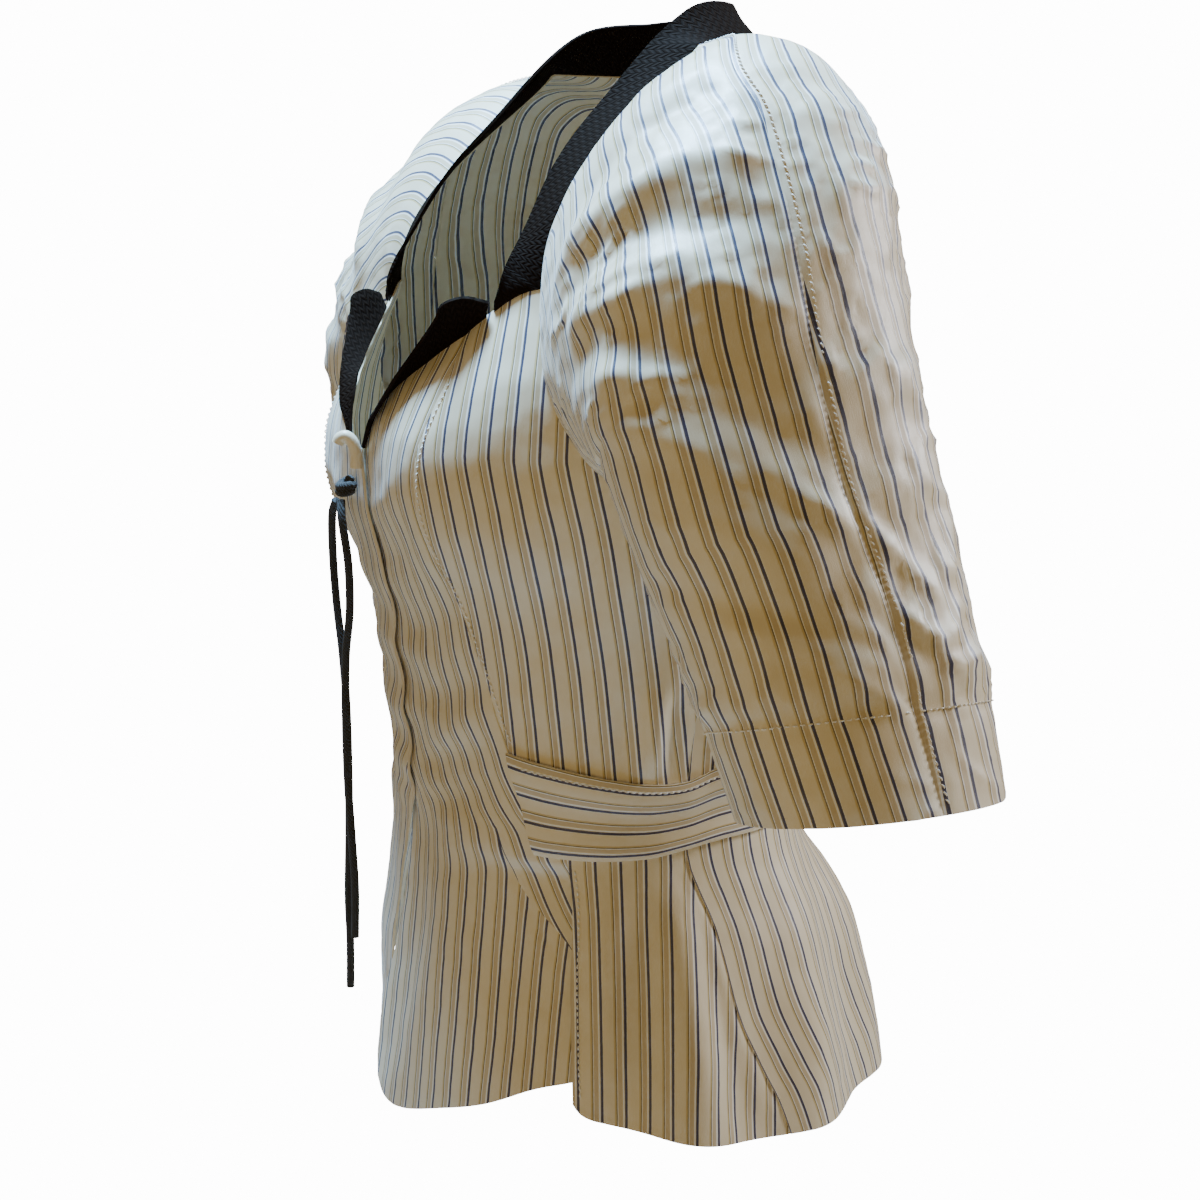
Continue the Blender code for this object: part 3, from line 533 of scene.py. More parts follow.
def panel_angle(share, share_top, start_seam, end_seam, z_top, z):
    start, end = seam_angle(start_seam, z), seam_angle(end_seam, z)
    blend = ease((z - WAIST_Z) / (z_top - WAIST_Z))
    return start + (end - start) * (share + (share_top - share) * blend)


def panel_point(rise, low_edge, z_top, angle_at):
    """Angle and height at a share of the way up one column of a panel."""
    z_hem = low_edge[0][1]
    for _ in range(6):
        z_hem = smooth_value(low_edge, math.degrees(angle_at(z_hem)), 1)
    if rise < PEPLUM_SHARE:
        z = z_hem + (WAIST_Z - z_hem) * rise / PEPLUM_SHARE
    else:
        z = WAIST_Z + (z_top - WAIST_Z) * (rise - PEPLUM_SHARE) / (1 - PEPLUM_SHARE)
    return angle_at(z), z


def neck_top(angle_at):
    """The height at which a line given as an angle at each height meets the neckline."""
    z = NECK_FRONT[1][1]
    for _ in range(12):
        z = smooth_value(NECK_FRONT, math.degrees(angle_at(z)), 1)
    return z


def lap_height(angle):
    return LAP * (1 - ease((angle - LAP_FULL) / LAP_FADE))


def cloth_crumple(point, seed, height=0.0007, size=0.016):
    """Small uneven waves of cotton that has been worn: seeded, so always the same."""
    return height * noise.noise(point / size + Vector((seed, seed * 1.7, 0))) \
        + height * 0.6 * noise.noise(point / (size * 0.45) + Vector((0, seed, seed)))


def make_front(hand, edge, over):
    """One front: the one that laps over the other is the wearer's right."""
    places, tops = {}, {}

    def place(share, rise):
        def angle_at(z):
            return front_angle(share, edge, z)

        if share not in tops:
            tops[share] = neck_top(angle_at)
        angle, z = panel_point(rise, HEM, tops[share], angle_at)
        start, end = seam_angle(edge, z), seam_angle(PRINCESS_SEAM, z)
        reach = (angle - start) / (end - start)
        near_vent = ease((reach - 0.5) / 0.5)
        depth = -VENT_DEPTH * near_vent * ease((WAIST_Z - z) / VENT_STEP)
        angle += VENT_UNDERLAP * near_vent * ease((WAIST_Z - VENT_STEP - z) / VENT_RUN)
        if over:
            depth += lap_height(angle)
            depth -= RIGHT_FRONT_FALL * ease((FALL_START_Z - z) / FALL_RUN) * (1 - 0.6 * reach)
        places[share, rise] = (angle, z)
        return body_surface(angle, z) + body_normal(angle, z) * depth

    def stripe(share, rise, point, beyond):
        angle, z = places[share, rise]
        guide = FRONT_DART if beyond and z < DART_TOP_Z else FRONT_GRAIN
        return (girth(seam_angle(guide, z), angle, z) + NAVY_MIDDLE, z)

    def lift(share, rise, point):
        angle, z = places[share, rise]
        to_seam = (seam_angle(PRINCESS_SEAM, z) - angle) * SEAM_RADIUS
        to_dart = (seam_angle(FRONT_DART, z) - angle) * DART_RADIUS
        dip = 0.0006 * math.exp(-(to_seam / 0.0022) ** 2) * (z > WAIST_Z)
        dip += 0.0007 * math.exp(-(to_dart / 0.0014) ** 2) * (DART_BOTTOM_Z < z < DART_TOP_Z)
        fade = ease(to_seam / 0.020) if z > WAIST_Z else 1.0
        return (body_folds(FRONT_FOLDS, angle, z) * fade - dip
                + cloth_crumple(point, 3.0 if over else 8.0, 0.0005))

    cloth_piece(hand + "_front", "front_" + hand, (FRONT_COLUMNS, FRONT_ROWS),
                place, stripe, lift, over, cut=DART_SHARE)


make_front("left", LEFT_FRONT_EDGE, False)
make_front("right", RIGHT_FRONT_EDGE, True)

# The side panels: one long piece each side, from the neckline and the front half of the
# raglan seam down to the hem, shaped like a lens between the princess and the side seam.
SIDE_SEAM = in_metres((0,),
    (-545, 101), (-513, 98.2), (-494, 95.4), (-469, 92), (-427, 89.4), (-394, 85), (-350, 85),
    (-218, 91))
SIDE_HEM = in_metres((1,),
    (59, -503), (61.5, -511), (66, -515), (73, -518), (81, -522), (89, -526), (99, -529),
    (124, -530), (150, -530), (180, -530))
# station, front degrees, front z, back degrees, back z
RAGLAN = in_metres((2, 4),
    (0, 53, -121, 138, -12), (1, 53.6, -138, 135.5, -36), (2, 54.8, -155, 132.5, -66),
    (3, 57, -170, 129.5, -100), (4, 60.2, -185, 125, -135), (5, 65.8, -203, 118, -170),
    (6, 76, -214.5, 106, -201), (7, 91, -218, 91, -218))
UNDERARM_STATION = 7
SIDE_COLUMNS, SIDE_ROWS = 56, 120
SIDE_NECK_SHARE = 0.18
SIDE_NECK_START, NECK_NOTCH = 33.4, 53.0
BELT_MIDDLE_Z, BELT_HOLD = -0.368, 0.022
SIDE_FOLDS = in_metres((1, 3, 4, 5),
    (96, -322, 80, 34, 4.2, 4.2), (91, -326, 96, 36, 3.8, -4), (86, -330, 86, 30, 4.2, 3.8),
    (81, -334, 92, 26, 4, -2.8), (76, -336, 88, 26, 4.4, 2.2), (70, -332, 90, 24, 5, -1.4),
    (84, -262, 70, 40, 12, -4), (72, -250, 62, 40, 11, 2.2), (60, -300, 90, 60, 12, -1),
    (52, -240, 74, 40, 11, 1.6), (66, -455, 90, 50, 11, 2.2), (74, -470, 88, 50, 10, -3),
    (82, -460, 92, 50, 10, 2.6), (89, -480, 90, 50, 9, -2.2))
# The stripe that the others are counted from, and how much the cloth is eased in below.
SIDE_GRAIN = in_metres((0,),
    (-545, 69.6), (-394, 69.6), (-315, 66.75), (-260, 64.2), (-230, 62.7), (-197, 60.2))
PEPLUM_EASE, PEPLUM_EASE_RUN = 0.07, 0.030


def raglan_point(station, front):
    degrees, z = (smooth_value(RAGLAN, station, (1 if front else 3) + k) for k in (0, 1))
    return math.radians(degrees), z


def side_top(share):
    """Where a column of a side panel ends: on the neckline, then on the raglan seam."""
    if share < SIDE_NECK_SHARE:
        degrees = SIDE_NECK_START + (NECK_NOTCH - SIDE_NECK_START) * share / SIDE_NECK_SHARE
        return math.radians(degrees), smooth_value(NECK_FRONT, degrees, 1)
    reach = (share - SIDE_NECK_SHARE) / (1 - SIDE_NECK_SHARE)
    return raglan_point(UNDERARM_STATION * reach, True)


def make_seamed_panel(part, hand, start_seam, end_seam, top, grain, folds, counts, seed):
    """A panel between two seams, from the hem up to the neckline and the raglan seam."""
    places = {}

    def place(share, rise):
        top_angle, z_top = top(share)
        start, end = seam_angle(start_seam, z_top), seam_angle(end_seam, z_top)
        share_top = (top_angle - start) / (end - start)

        def angle_at(z):
            return panel_angle(share, share_top, start_seam, end_seam, z_top, z)

        angle, z = panel_point(rise, SIDE_HEM, z_top, angle_at)
        places[share, rise] = (angle, z)
        return body_surface(angle, z)

    def stripe(share, rise, point):
        angle, z = places[share, rise]
        eased = 1 + PEPLUM_EASE * ease((WAIST_Z - z) / PEPLUM_EASE_RUN)
        return (girth(seam_angle(grain, z), angle, z) * eased + NAVY_MIDDLE, z)

    def lift(share, rise, point):
        angle, z = places[share, rise]
        start, end = seam_angle(start_seam, z), seam_angle(end_seam, z)
        to_start, to_end = (angle - start) * SEAM_RADIUS, (end - angle) * SEAM_RADIUS
        dip = -0.0006 * (math.exp(-(to_start / 0.002) ** 2) + math.exp(-(to_end / 0.002) ** 2))
        under_belt = math.exp(-((z - BELT_MIDDLE_Z) / BELT_HOLD) ** 4)
        edge_fade = ease(to_start / 0.012) * (ease(to_end / 0.012) if top is side_top else 1)
        crumple = cloth_crumple(point, seed, 0.0005)
        return (dip if z > WAIST_Z or to_end < to_start else 0) + (
            body_folds(folds, angle, z) * edge_fade * (1 - under_belt) + crumple)

    cloth_piece(f"{hand}_{part}", f"{part}_{hand}", counts, place, stripe, lift,
                hand == "right")


for hand, seed in (("left", 2.0), ("right", 5.0)):
    make_seamed_panel("side_panel", hand, PRINCESS_SEAM, SIDE_SEAM, side_top, SIDE_GRAIN,
                      SIDE_FOLDS, (SIDE_COLUMNS, SIDE_ROWS), seed)

# The back: two pieces joined down the middle, each cut with its stripes along the side
# seam, taken in hard at the waist and flared over the peplum.
BACK_MIDDLE = ((-0.6, 180.0), (0.0, 180.0))
BACK_NECK = in_metres((1,),
    (138, -12), (150, -16), (165, -20), (180, -22))
BACK_NECK_SHARE, BACK_NECK_START = 0.75, 138.0
BACK_COLUMNS, BACK_ROWS = 64, 128
BACK_FOLDS = in_metres((1, 3, 4, 5),
    (100, -318, 92, 36, 4.2, 4), (106, -322, 84, 34, 4.2, -3.6), (112, -326, 94, 28, 4.5, 2.8),
    (119, -328, 86, 26, 4.5, -2), (128, -330, 90, 24, 5, 1.6), (140, -310, 60, 40, 9, 1.4),
    (115, -240, 62, 50, 12, 2.6), (128, -200, 60, 50, 12, -2.2), (150, -355, 8, 40, 7, 1.2),
    (160, -325, -6, 40, 8, 1.2), (110, -460, 84, 50, 12, 2.2), (126, -470, 90, 50, 12, -2.4),
    (143, -460, 92, 50, 12, 2.2), (160, -475, 90, 50, 11, -2.2))
# the stripe that the others are counted from: it leaves the side seam above the belt
BACK_GRAIN = SIDE_SEAM[:-1] + (
    (-0.310, 86.4), (-0.275, 88.6), (-0.240, 90.2), (-0.205, 90.9), (-0.160, 91.0),
)


def back_top(share):
    """Where a column of the back ends: on the raglan seam, then on the neckline."""
    if share > BACK_NECK_SHARE:
        reach = (share - BACK_NECK_SHARE) / (1 - BACK_NECK_SHARE)
        degrees = BACK_NECK_START + (180.0 - BACK_NECK_START) * reach
        return math.radians(degrees), smooth_value(BACK_NECK, degrees, 1)
    return raglan_point(UNDERARM_STATION * (1 - share / BACK_NECK_SHARE), False)


for hand, seed in (("left", 1.0), ("right", 6.0)):
    make_seamed_panel("back", hand, SIDE_SEAM, BACK_MIDDLE, back_top, BACK_GRAIN, BACK_FOLDS,
                      (BACK_COLUMNS, BACK_ROWS), seed)

# The sleeves: two pieces each, set in from the neckline to the underarm and joined over
# the crest of the arm by one topstitched seam. They are full at the top and taper a
# little to a hem that is turned up 40 mm and stitched down.
# station, crest x, y, z, front start degrees, front depth, back start degrees, back depth,
# flatness, overarm seam degrees in front of the crest
SLEEVE_CREST = in_metres((1, 2, 3, 5, 7),
    (0, 85, 10, -10, 90, 88, 90, 55, 2.6, 0), (1, 110, 13, -9, 86, 94, 86, 60, 1.6, 7),
    (2, 138, 16, -11, 80, 98, 78, 62, 1.15, 13), (3, 162, 17, -23.5, 72, 103, 70, 60, 1, 16),
    (4, 183.5, 17, -42.5, 60, 102, 60, 57, 1, 16), (5, 201.5, 12, -70, 45, 99, 45, 54, 1, 14),
    (6, 217, 5, -103, 24, 95, 24, 55, 1, 10), (7, 230, -3, -145, 0, 87, 0, 62, 1, 5),
    (8, 246, -5, -195, 0, 74, 0, 70, 1, 1), (9, 264, 2, -250, 0, 65, 0, 69, 1, -2),
    (10, 278, 7, -298, 0, 60, 0, 67, 1, -3), (11, 289, 10, -327.5, 0, 57, 0, 63, 1, -4))
# station, x, y, z of the line under the arm
UNDERARM = in_metres((1, 2, 3),
    (7, 153, 2, -218), (8, 168, -6, -246), (9, 181, 0, -286), (10, 190.5, 6, -318),
    (11, 196.5, 10, -345))
CUFF_STATION = 11
BACK_FLATTENING, FLATTENING_STATION = 0.25, 5
SLEEVE_COLUMNS, SLEEVE_ROWS = 72, 150
TURN_STEPS = 60
# Folds of a sleeve: place in front of the overarm seam, station, turn, length, width,
# depth. The drape is alike on both sleeves, and the creases lie a little apart.
SLEEVE_DRAPE = in_metres((0, 3, 4, 5),
    (50, 3, 20, 50, 15, -4), (85, 3.7, 35, 40, 12, 3), (70, 4.7, 30, 45, 11, -3),
    (40, 4.3, 25, 36, 11, 2.6), (90, 5.9, 38, 40, 10, -2.8), (50, 6.9, 28, 40, 10, -2.6),
    (50, 8.2, 24, 36, 10, 2.4), (-30, 3.6, -20, 40, 12, -2.6), (-50, 5, -30, 40, 11, 2.6),
    (-45, 6.3, -28, 40, 11, -2.8), (-60, 7.8, -30, 40, 11, 2.6))
SLEEVE_CREASES = in_metres((0, 3, 4, 5),
    (95, 5.2, 40, 34, 6, 1.8), (66, 5.35, 32, 34, 5, 1.6), (55, 5.8, 28, 36, 6, 2),
    (20, 5.5, 20, 26, 7, -1.6), (24, 6.4, 24, 26, 5, 1.4), (80, 6.6, 34, 30, 5, 1.8),
    (75, 7.3, 30, 36, 6, 2), (30, 7.5, 24, 28, 5, -1.6), (66, 8.7, 22, 36, 5, -1.8),
    (18, 8.1, 30, 20, 4, 2), (10, 8.6, -24, 20, 3.6, -1.8), (40, 9.1, 18, 30, 4.4, 1.8),
    (14, 9.6, 28, 20, 3, 1.6), (26, 9.9, -20, 20, 3.2, 1.4), (-12, 8.5, 40, 22, 3.4, 2),
    (-16, 9.2, 36, 22, 3.4, 2), (-40, 9.3, 18, 30, 6, 1.6), (-70, 6.9, -34, 36, 7, 2),
    (-30, 7.2, -20, 30, 6, 1.8), (-30, 8.4, -26, 30, 6, -1.8), (-90, 7.4, -40, 30, 7, -1.8))
STATION_LENGTH, SEAM_CALM, NECK_CALM = 0.036, 0.016, 0.8
# how far along and round the creases of the right sleeve are moved: metres, stations
RIGHT_CREASES_MOVED = (-0.006, 0.15)
HEM_STITCH_STATION, HEM_STITCH_DIP, HEM_PUFF, HEM_PUFF_ABOVE = 9.72, 0.0010, 0.0014, 0.28
CAP_STATION, CAP_FADE = 2.6, 1.6
# station, stripes that have run into the overarm seam in front; and behind it, how close
# the first stripes lie, and the stripes that have run in
FRONT_GRAIN_LEAN = (
    (0, -0.04), (3, -0.04), (4, -0.1), (5.5, -0.17), (6.2, -0.2), (6.7, -0.12), (7.2, 0.04),
    (7.8, 0.19), (8.3, 0.23), (8.75, 0.18), (9.5, 0.24), (10, 0.38), (10.6, 0.46), (11, 0.5),
)
BACK_GRAIN_LEAN = (
    (0, 1, 0.1), (3.7, 0.95, 0.05), (4.7, 0.86, -0.12), (5.6, 0.8, -0.14), (6.1, 0.72, -0.14),
    (6.5, 0.69, 0), (7, 0.69, 0.17), (7.45, 0.72, 0.34), (7.9, 0.76, 0.46), (8.3, 0.8, 0.5),
    (8.8, 0.8, 0.36), (9.3, 0.78, 0.28), (9.9, 0.77, 0.28), (10.4, 0.76, 0.22), (11, 0.74, 0.12),
)
CLOSE_STRIPES = 0.037
# Blender starts its noise vectors from the clock unless they are given a start.
NOISE_START = 4
noise.seed_set(NOISE_START)


def crisp_crease(point, seed, height, size):
    """Sharp little ridges where folds of the cloth meet, with soft hollows between them."""
    place = point / size + Vector((seed * 2.3, seed, 0))
    bent = place + noise.noise_vector(place * 0.7) * 0.5
    ridge = 1 - min(abs(noise.noise(bent)) * 2.6, 1.0)
    patch = ease(noise.noise(place * 0.45 + Vector((0, 0, seed))) * 2.2 + 0.45)
    return height * ridge ** 2.5 * patch


def seam_point(station, front):
    if station >= UNDERARM_STATION:
        return smooth_point(UNDERARM, station)
    return body_surface(*raglan_point(station, front))


def sleeve_section(station, front):
    """Everything about one section that doesn't change round it."""
    crest = smooth_point(SLEEVE_CREST, station)
    start = math.radians(smooth_value(SLEEVE_CREST, station, 4 if front else 6))
    depth = smooth_value(SLEEVE_CREST, station, 5 if front else 7)
    flatness = smooth_value(SLEEVE_CREST, station, 8)
    if not front:
        tube = ease((station - FLATTENING_STATION) / (UNDERARM_STATION - FLATTENING_STATION))
        flatness -= BACK_FLATTENING * tube
    overarm = math.pi - math.radians(smooth_value(SLEEVE_CREST, station, 9))
    return crest, start, depth, flatness, seam_point(station, front), overarm


def section_point(section, turn, front):
    crest, start, depth, flatness, foot, _ = section
    angle = turn if front else 2 * math.pi - turn
    share = (1 + math.cos(angle)) / (1 + math.cos(start))
    side = -1 if front else 1
    bow = side * depth * max(math.sin(angle), 0.0) ** flatness
    bow_start = side * depth * max(math.sin(start), 0.0) ** flatness
    point = crest.lerp(foot, share)
    point.y = crest.y + (foot.y - crest.y - bow_start) * share + bow
    return point


def section_line(station, front):
    """Points round one piece of a section, from the overarm seam, and the cloth walked."""
    here, there = sleeve_section(station, True), sleeve_section(station, False)
    overarm = here[5]
    last = here[1] if front else 2 * math.pi - there[1]
    points = []
    for step in range(TURN_STEPS + 1):
        turn = overarm + (last - overarm) * step / TURN_STEPS
        points.append(section_point(here if turn <= math.pi else there, turn, turn <= math.pi))
    return points, walk(points)


def polyline_at(points, walked, wanted):
    """The point of a line that is this far along it."""
    wanted = min(max(wanted, 0.0), walked[-1])
    step = next(k for k in range(1, len(walked)) if walked[k] >= wanted - 1e-9)
    part = (wanted - walked[step - 1]) / max(walked[step] - walked[step - 1], 1e-9)
    return points[step - 1].lerp(points[step], part)


def sleeve_folds(folds, ahead, station):
    """The height of all of a table's folds at one place of a sleeve."""
    height = 0.0
    for fold_ahead, fold_station, *shape in folds:
        up = (fold_station - station) * STATION_LENGTH
        height += fold_height(ahead - fold_ahead, up, *shape)
    return height


def make_sleeve_piece(hand, part, seed):
    """One piece of a sleeve, its columns counted from the overarm seam."""
    front, mirrored = part == "front", hand == "right"
    shift, lag = RIGHT_CREASES_MOVED if mirrored else (0.0, 0.0)
    lines = {}

    def row_station(rise):
        return CUFF_STATION * (1 - rise)

    def place(share, rise):
        key = round(rise * SLEEVE_ROWS)
        if key not in lines:
            lines[key] = section_line(row_station(key / SLEEVE_ROWS), front)
        points, walked = lines[key]
        return polyline_at(points, walked, walked[-1] * share)

    def whole_width(rise):
        return lines[round(rise * SLEEVE_ROWS)][1][-1]

    def stripe(share, rise, point):
        walked, station = whole_width(rise) * share, row_station(rise)
        if front:
            across = -walked - smooth_value(FRONT_GRAIN_LEAN, station, 1) * STRIPE_REPEAT
        else:
            close = smooth_value(BACK_GRAIN_LEAN, station, 1)
            across = walked - (1 - close) * min(walked, CLOSE_STRIPES)
            across -= smooth_value(BACK_GRAIN_LEAN, station, 2) * STRIPE_REPEAT
        return (across, station * STATION_LENGTH)

    def lift(share, rise, point):
        whole, station = whole_width(rise), row_station(rise)
        walked = whole * share
        ahead = walked if front else -walked
        beside = ease(min(walked, whole - walked) / SEAM_CALM)
        drape = sleeve_folds(SLEEVE_DRAPE, ahead, station) * beside * (1 if front else 0.6)
        raised = sleeve_folds(SLEEVE_CREASES, ahead + shift, station + lag)
        seam = 0.0007 * math.exp(-(walked / 0.0022) ** 2)
        edge = walked + 0.004
        if station < UNDERARM_STATION:
            edge = min(edge, (whole - walked) * 1.4)
        calm = ease(edge / 0.012) * ease(station / (NECK_CALM * 2))
        drape *= ease(station / NECK_CALM)
        above_hem = HEM_STITCH_STATION - station
        stitched = HEM_STITCH_DIP * math.exp(-(above_hem / 0.10) ** 2)
        puff = HEM_PUFF * math.exp(-((above_hem - HEM_PUFF_ABOVE) / 0.16) ** 2)
        puff *= 0.6 + 0.6 * noise.noise(Vector((walked * 90, seed, 0)))
        in_hem = 1 - 0.6 * ease(-above_hem / 0.1)
        crumple = cloth_crumple(point, seed, 0.0007, 0.017)
        below_cap = ease((station - CAP_STATION) / CAP_FADE)
        crumple += crisp_crease(point, seed, 0.0016, 0.021) * below_cap
        crumple += crisp_crease(point, seed + 5, 0.0009, 0.010) * below_cap
        return drape + (raised + crumple) * calm * in_hem - seam - stitched + puff

    def outwards(point):
        return Vector((point.x - 0.13, point.y * 1.5, max(point.z + 0.16, 0.0) * 1.2))

    cloth_piece(f"{hand}_sleeve_{part}", f"sleeve_{part}_{hand}", (SLEEVE_COLUMNS, SLEEVE_ROWS),
                place, stripe, lift, mirrored, outwards=outwards)


for hand, part, seed in (("left", "front", 9.0), ("left", "back", 12.0),
                         ("right", "front", 4.0), ("right", "back", 7.0)):
    make_sleeve_piece(hand, part, seed)

# The belt: one straight strip with its stripes level, folded over along its top edge and
# laid on the waist from one princess seam round the back to the other.
BELT_WALL = 0.0022
BELT_STANDOFF = 0.0010
# degrees from the centre front, top edge z, bottom edge z
BELT = in_metres((1, 2),
    (43.9, -341, -390), (54, -345, -392), (74, -353, -392), (84, -354, -389), (94, -348, -386),
    (120, -344, -386), (180, -343, -386))
BELT_END_TOP, BELT_END_BOTTOM = 43.9, 50.1
BELT_COLUMNS, BELT_ROWS = 160, 14
BELT_LENGTH, BELT_WIDTH, BELT_STRIPE_START, BELT_FOLD_RISE = 0.620, 0.0455, 0.0050, 0.90


def belt_point(share, rise):
    """share runs from -1 at the left end to 1 at the right end, through the back."""
    end = math.radians(BELT_END_BOTTOM + (BELT_END_TOP - BELT_END_BOTTOM) * rise)
    angle = math.pi - (math.pi - end) * abs(share)
    degrees = math.degrees(angle)
    top, bottom = smooth_value(BELT, degrees, 1), smooth_value(BELT, degrees, 2)
    z = bottom + (top - bottom) * rise
    point = body_surface(angle, z) + body_normal(angle, z) * (BELT_WALL + BELT_STANDOFF)
    if share > 0:
        point.x = -point.x
    return point


def belt_place(share, rise):
    return belt_point(share * 2 - 1, rise)


def belt_stripe(share, rise, point):
    return ((1 - rise) * BELT_WIDTH - BELT_STRIPE_START, (share - 0.5) * BELT_LENGTH)


def belt_lift(share, rise, point):
    fold_line = -0.0009 * math.exp(-((rise - BELT_FOLD_RISE) / 0.03) ** 2)
    edge = -0.0008 * (math.exp(-(rise / 0.03) ** 2) + math.exp(-((1 - rise) / 0.03) ** 2))
    drag = 0.0007 * math.sin(rise * 9 + share * 5)
    return fold_line + edge + drag + cloth_crumple(point, 11.0, 0.0003)


belt = cloth_piece("half_belt", "belt", (BELT_COLUMNS, BELT_ROWS),
                   belt_place, belt_stripe, belt_lift, thickness=BELT_WALL)

# The sewing thread that shows: ivory cotton, in short stitches that lie on the cloth with
# their ends drawn into it. Rows run beside the overarm seam, round the sleeves' hems,
# beside the princess seam and the peplum's split, and along the belt's folded edge.
sewing_thread, thread_shader, wire = new_material("sewing thread", (0.66, 0.60, 0.48, 1), 0.6)
place = wire.node("ShaderNodeTexCoord", {}, {}, "Object")
plies = wire.node("ShaderNodeTexNoise", {}, {"Vector": place, "Scale": 2400.0, "Detail": 1.0}, 0)
feed(thread_shader, "Base Color",
     plies.mixed((0.72, 0.68, 0.58, 1), (0.95, 0.93, 0.88, 1)))
feed(thread_shader, "Normal", plies.bump(0.0002, 0.6))
THREAD_RADIUS, STITCH_PITCH, STITCH_SHARE, STITCH_RISE = 0.00040, 0.0032, 0.70, 0.00060
# share of a stitch, share of the thread's thickness
STITCH_RINGS = ((0.0, 0.25), (0.12, 0.85), (0.5, 1.0), (0.88, 0.85), (1.0, 0.25))
STITCH_TURNS = [2 * math.pi * k / 6 for k in range(6)]


def sewn_row(name, piece, line, skew=0.0):
    """Stitches along a line of points near a piece: each is laid on the cloth itself."""
    surface = BVHTree.FromPolygons([v.co[:] for v in piece.data.vertices],
                                   [f.vertices[:] for f in piece.data.polygons])
    walked = walk(line)
    row = bmesh.new()
    for index in range(int(walked[-1] / STITCH_PITCH)):
        ends = [polyline_at(line, walked, STITCH_PITCH * (index + STITCH_SHARE * k))
                for k in (0, 1)]
        way = ends[1] - ends[0]
        if way.length < STITCH_PITCH * 0.2:
            continue
        found = [surface.find_nearest(end) for end in ends]
        normal = found[0][1]
        across = normal.cross(way).normalized() * skew
        start, end = found[0][0] - across, found[1][0] + across
        way = end - start
        side = way.cross(normal).normalized()
        rings = []
        for share, swell in STITCH_RINGS:
            rise = STITCH_RISE * (1 - (share * 2 - 1) ** 2) - THREAD_RADIUS * 0.4 * (1 - swell)
            centre = start + way * share + normal * rise
            rings.append([row.verts.new(centre + (side * math.cos(turn) + normal * math.sin(turn))
                                        * THREAD_RADIUS * swell) for turn in STITCH_TURNS])
        for low, high in zip(rings, rings[1:]):
            for k in range(-1, len(STITCH_TURNS) - 1):
                row.faces.new((low[k], low[k + 1], high[k + 1], high[k]))
        row.faces.new(rings[0][::-1])
        row.faces.new(rings[-1])
    bmesh.ops.recalc_face_normals(row, faces=row.faces[:])
    finish_piece(name, row, sewing_thread, None, 80)


def beside_princess(z_from, z_to):
    """Points a little outside the body, beside the princess seam."""
    points = []
    for step in range(61):
        z = z_from + (z_to - z_from) * step / 60
        angle = seam_angle(PRINCESS_SEAM, z) + PRINCESS_INSET / FOLD_RADIUS
        points.append(body_surface(angle, z) + body_normal(angle, z) * 0.002)
    return points


def round_sleeve(front):
    """Points round one piece of a sleeve, on the row that holds its hem."""
    line, walked = section_line(CUFF_ROW_STATION, front)
    length = walked[-1] - 2 * CUFF_ROW_INSET
    return [polyline_at(line, walked, CUFF_ROW_INSET + length * k / 40) for k in range(41)]


OVERARM_INSET, OVERARM_SKEW, PRINCESS_INSET = 0.0032, 0.00055, 0.0030
CUFF_ROW_STATION, CUFF_ROW_INSET = 9.74, 0.003
beside_overarm = [polyline_at(*section_line(0.15 + (CUFF_STATION - 0.2) * k / 120, False),
                              OVERARM_INSET) for k in range(121)]
# row, the piece that it is sewn on, its line, how far each stitch is turned
STITCH_ROWS = (
    ("overarm_stitches", "sleeve_back", beside_overarm, OVERARM_SKEW),
    ("cuff_stitches_front", "sleeve_front", round_sleeve(True), 0.0),
    ("cuff_stitches_back", "sleeve_back", round_sleeve(False), 0.0),
    ("princess_stitches", "side_panel", beside_princess(-0.165, -0.340), 0.0),
    ("split_stitches", "side_panel", beside_princess(-0.398, -0.505), 0.0),
)
for hand, side in (("left", 1), ("right", -1)):
    for row_name, part, line, skew in STITCH_ROWS:
        sewn_row(f"{hand}_{row_name}", bpy.data.objects[f"{hand}_{part}"],
                 [Vector((p.x * side, p.y, p.z)) for p in line], skew)
sewn_row("belt_stitches", belt, [belt_point(0.985 - 1.97 * k / 160, BELT_FOLD_RISE)
                                 for k in range(161)])

# The neckline's trim: black cloth with a raised zigzag, in three pieces. The band stands
# inside the neckline from notch to notch round the back of the neck, and below each notch
# a narrower piece runs down to the closing edge.
TRIM_WALL = 0.0016
# the share of its width by which the trim laps over the edge of the cloth
TRIM_LAP = 0.05
# share of the neckline, x, y, z
COLLAR_INNER = in_metres((1, 2, 3),
    (0, 79, -90.5, -126.5), (0.1, 79, -83, -111), (0.2, 78, -74.5, -98), (0.34, 72, -56, -67),
    (0.46, 67, -35, -43), (0.66, 62, 15, 6), (0.82, 44, 50, 13), (1, 0, 62, 12))
LAPEL_INNER = in_metres((1, 2, 3),
    (0, 10, -134.5, -200), (0.14, 20, -134.5, -187), (0.28, 29, -133.5, -180),
    (0.42, 40, -129, -166), (0.58, 53, -121.5, -150), (0.72, 64, -115, -136),
    (0.8, 68, -112.5, -128.5), (0.9, 73, -103, -125), (1, 79, -93, -127))
ZIGZAG_WIDE, ZIGZAG_TALL = 0.0052, 0.0040
NOTCH_DEGREES, LAPEL_END_DEGREES = 40.5, 38.5

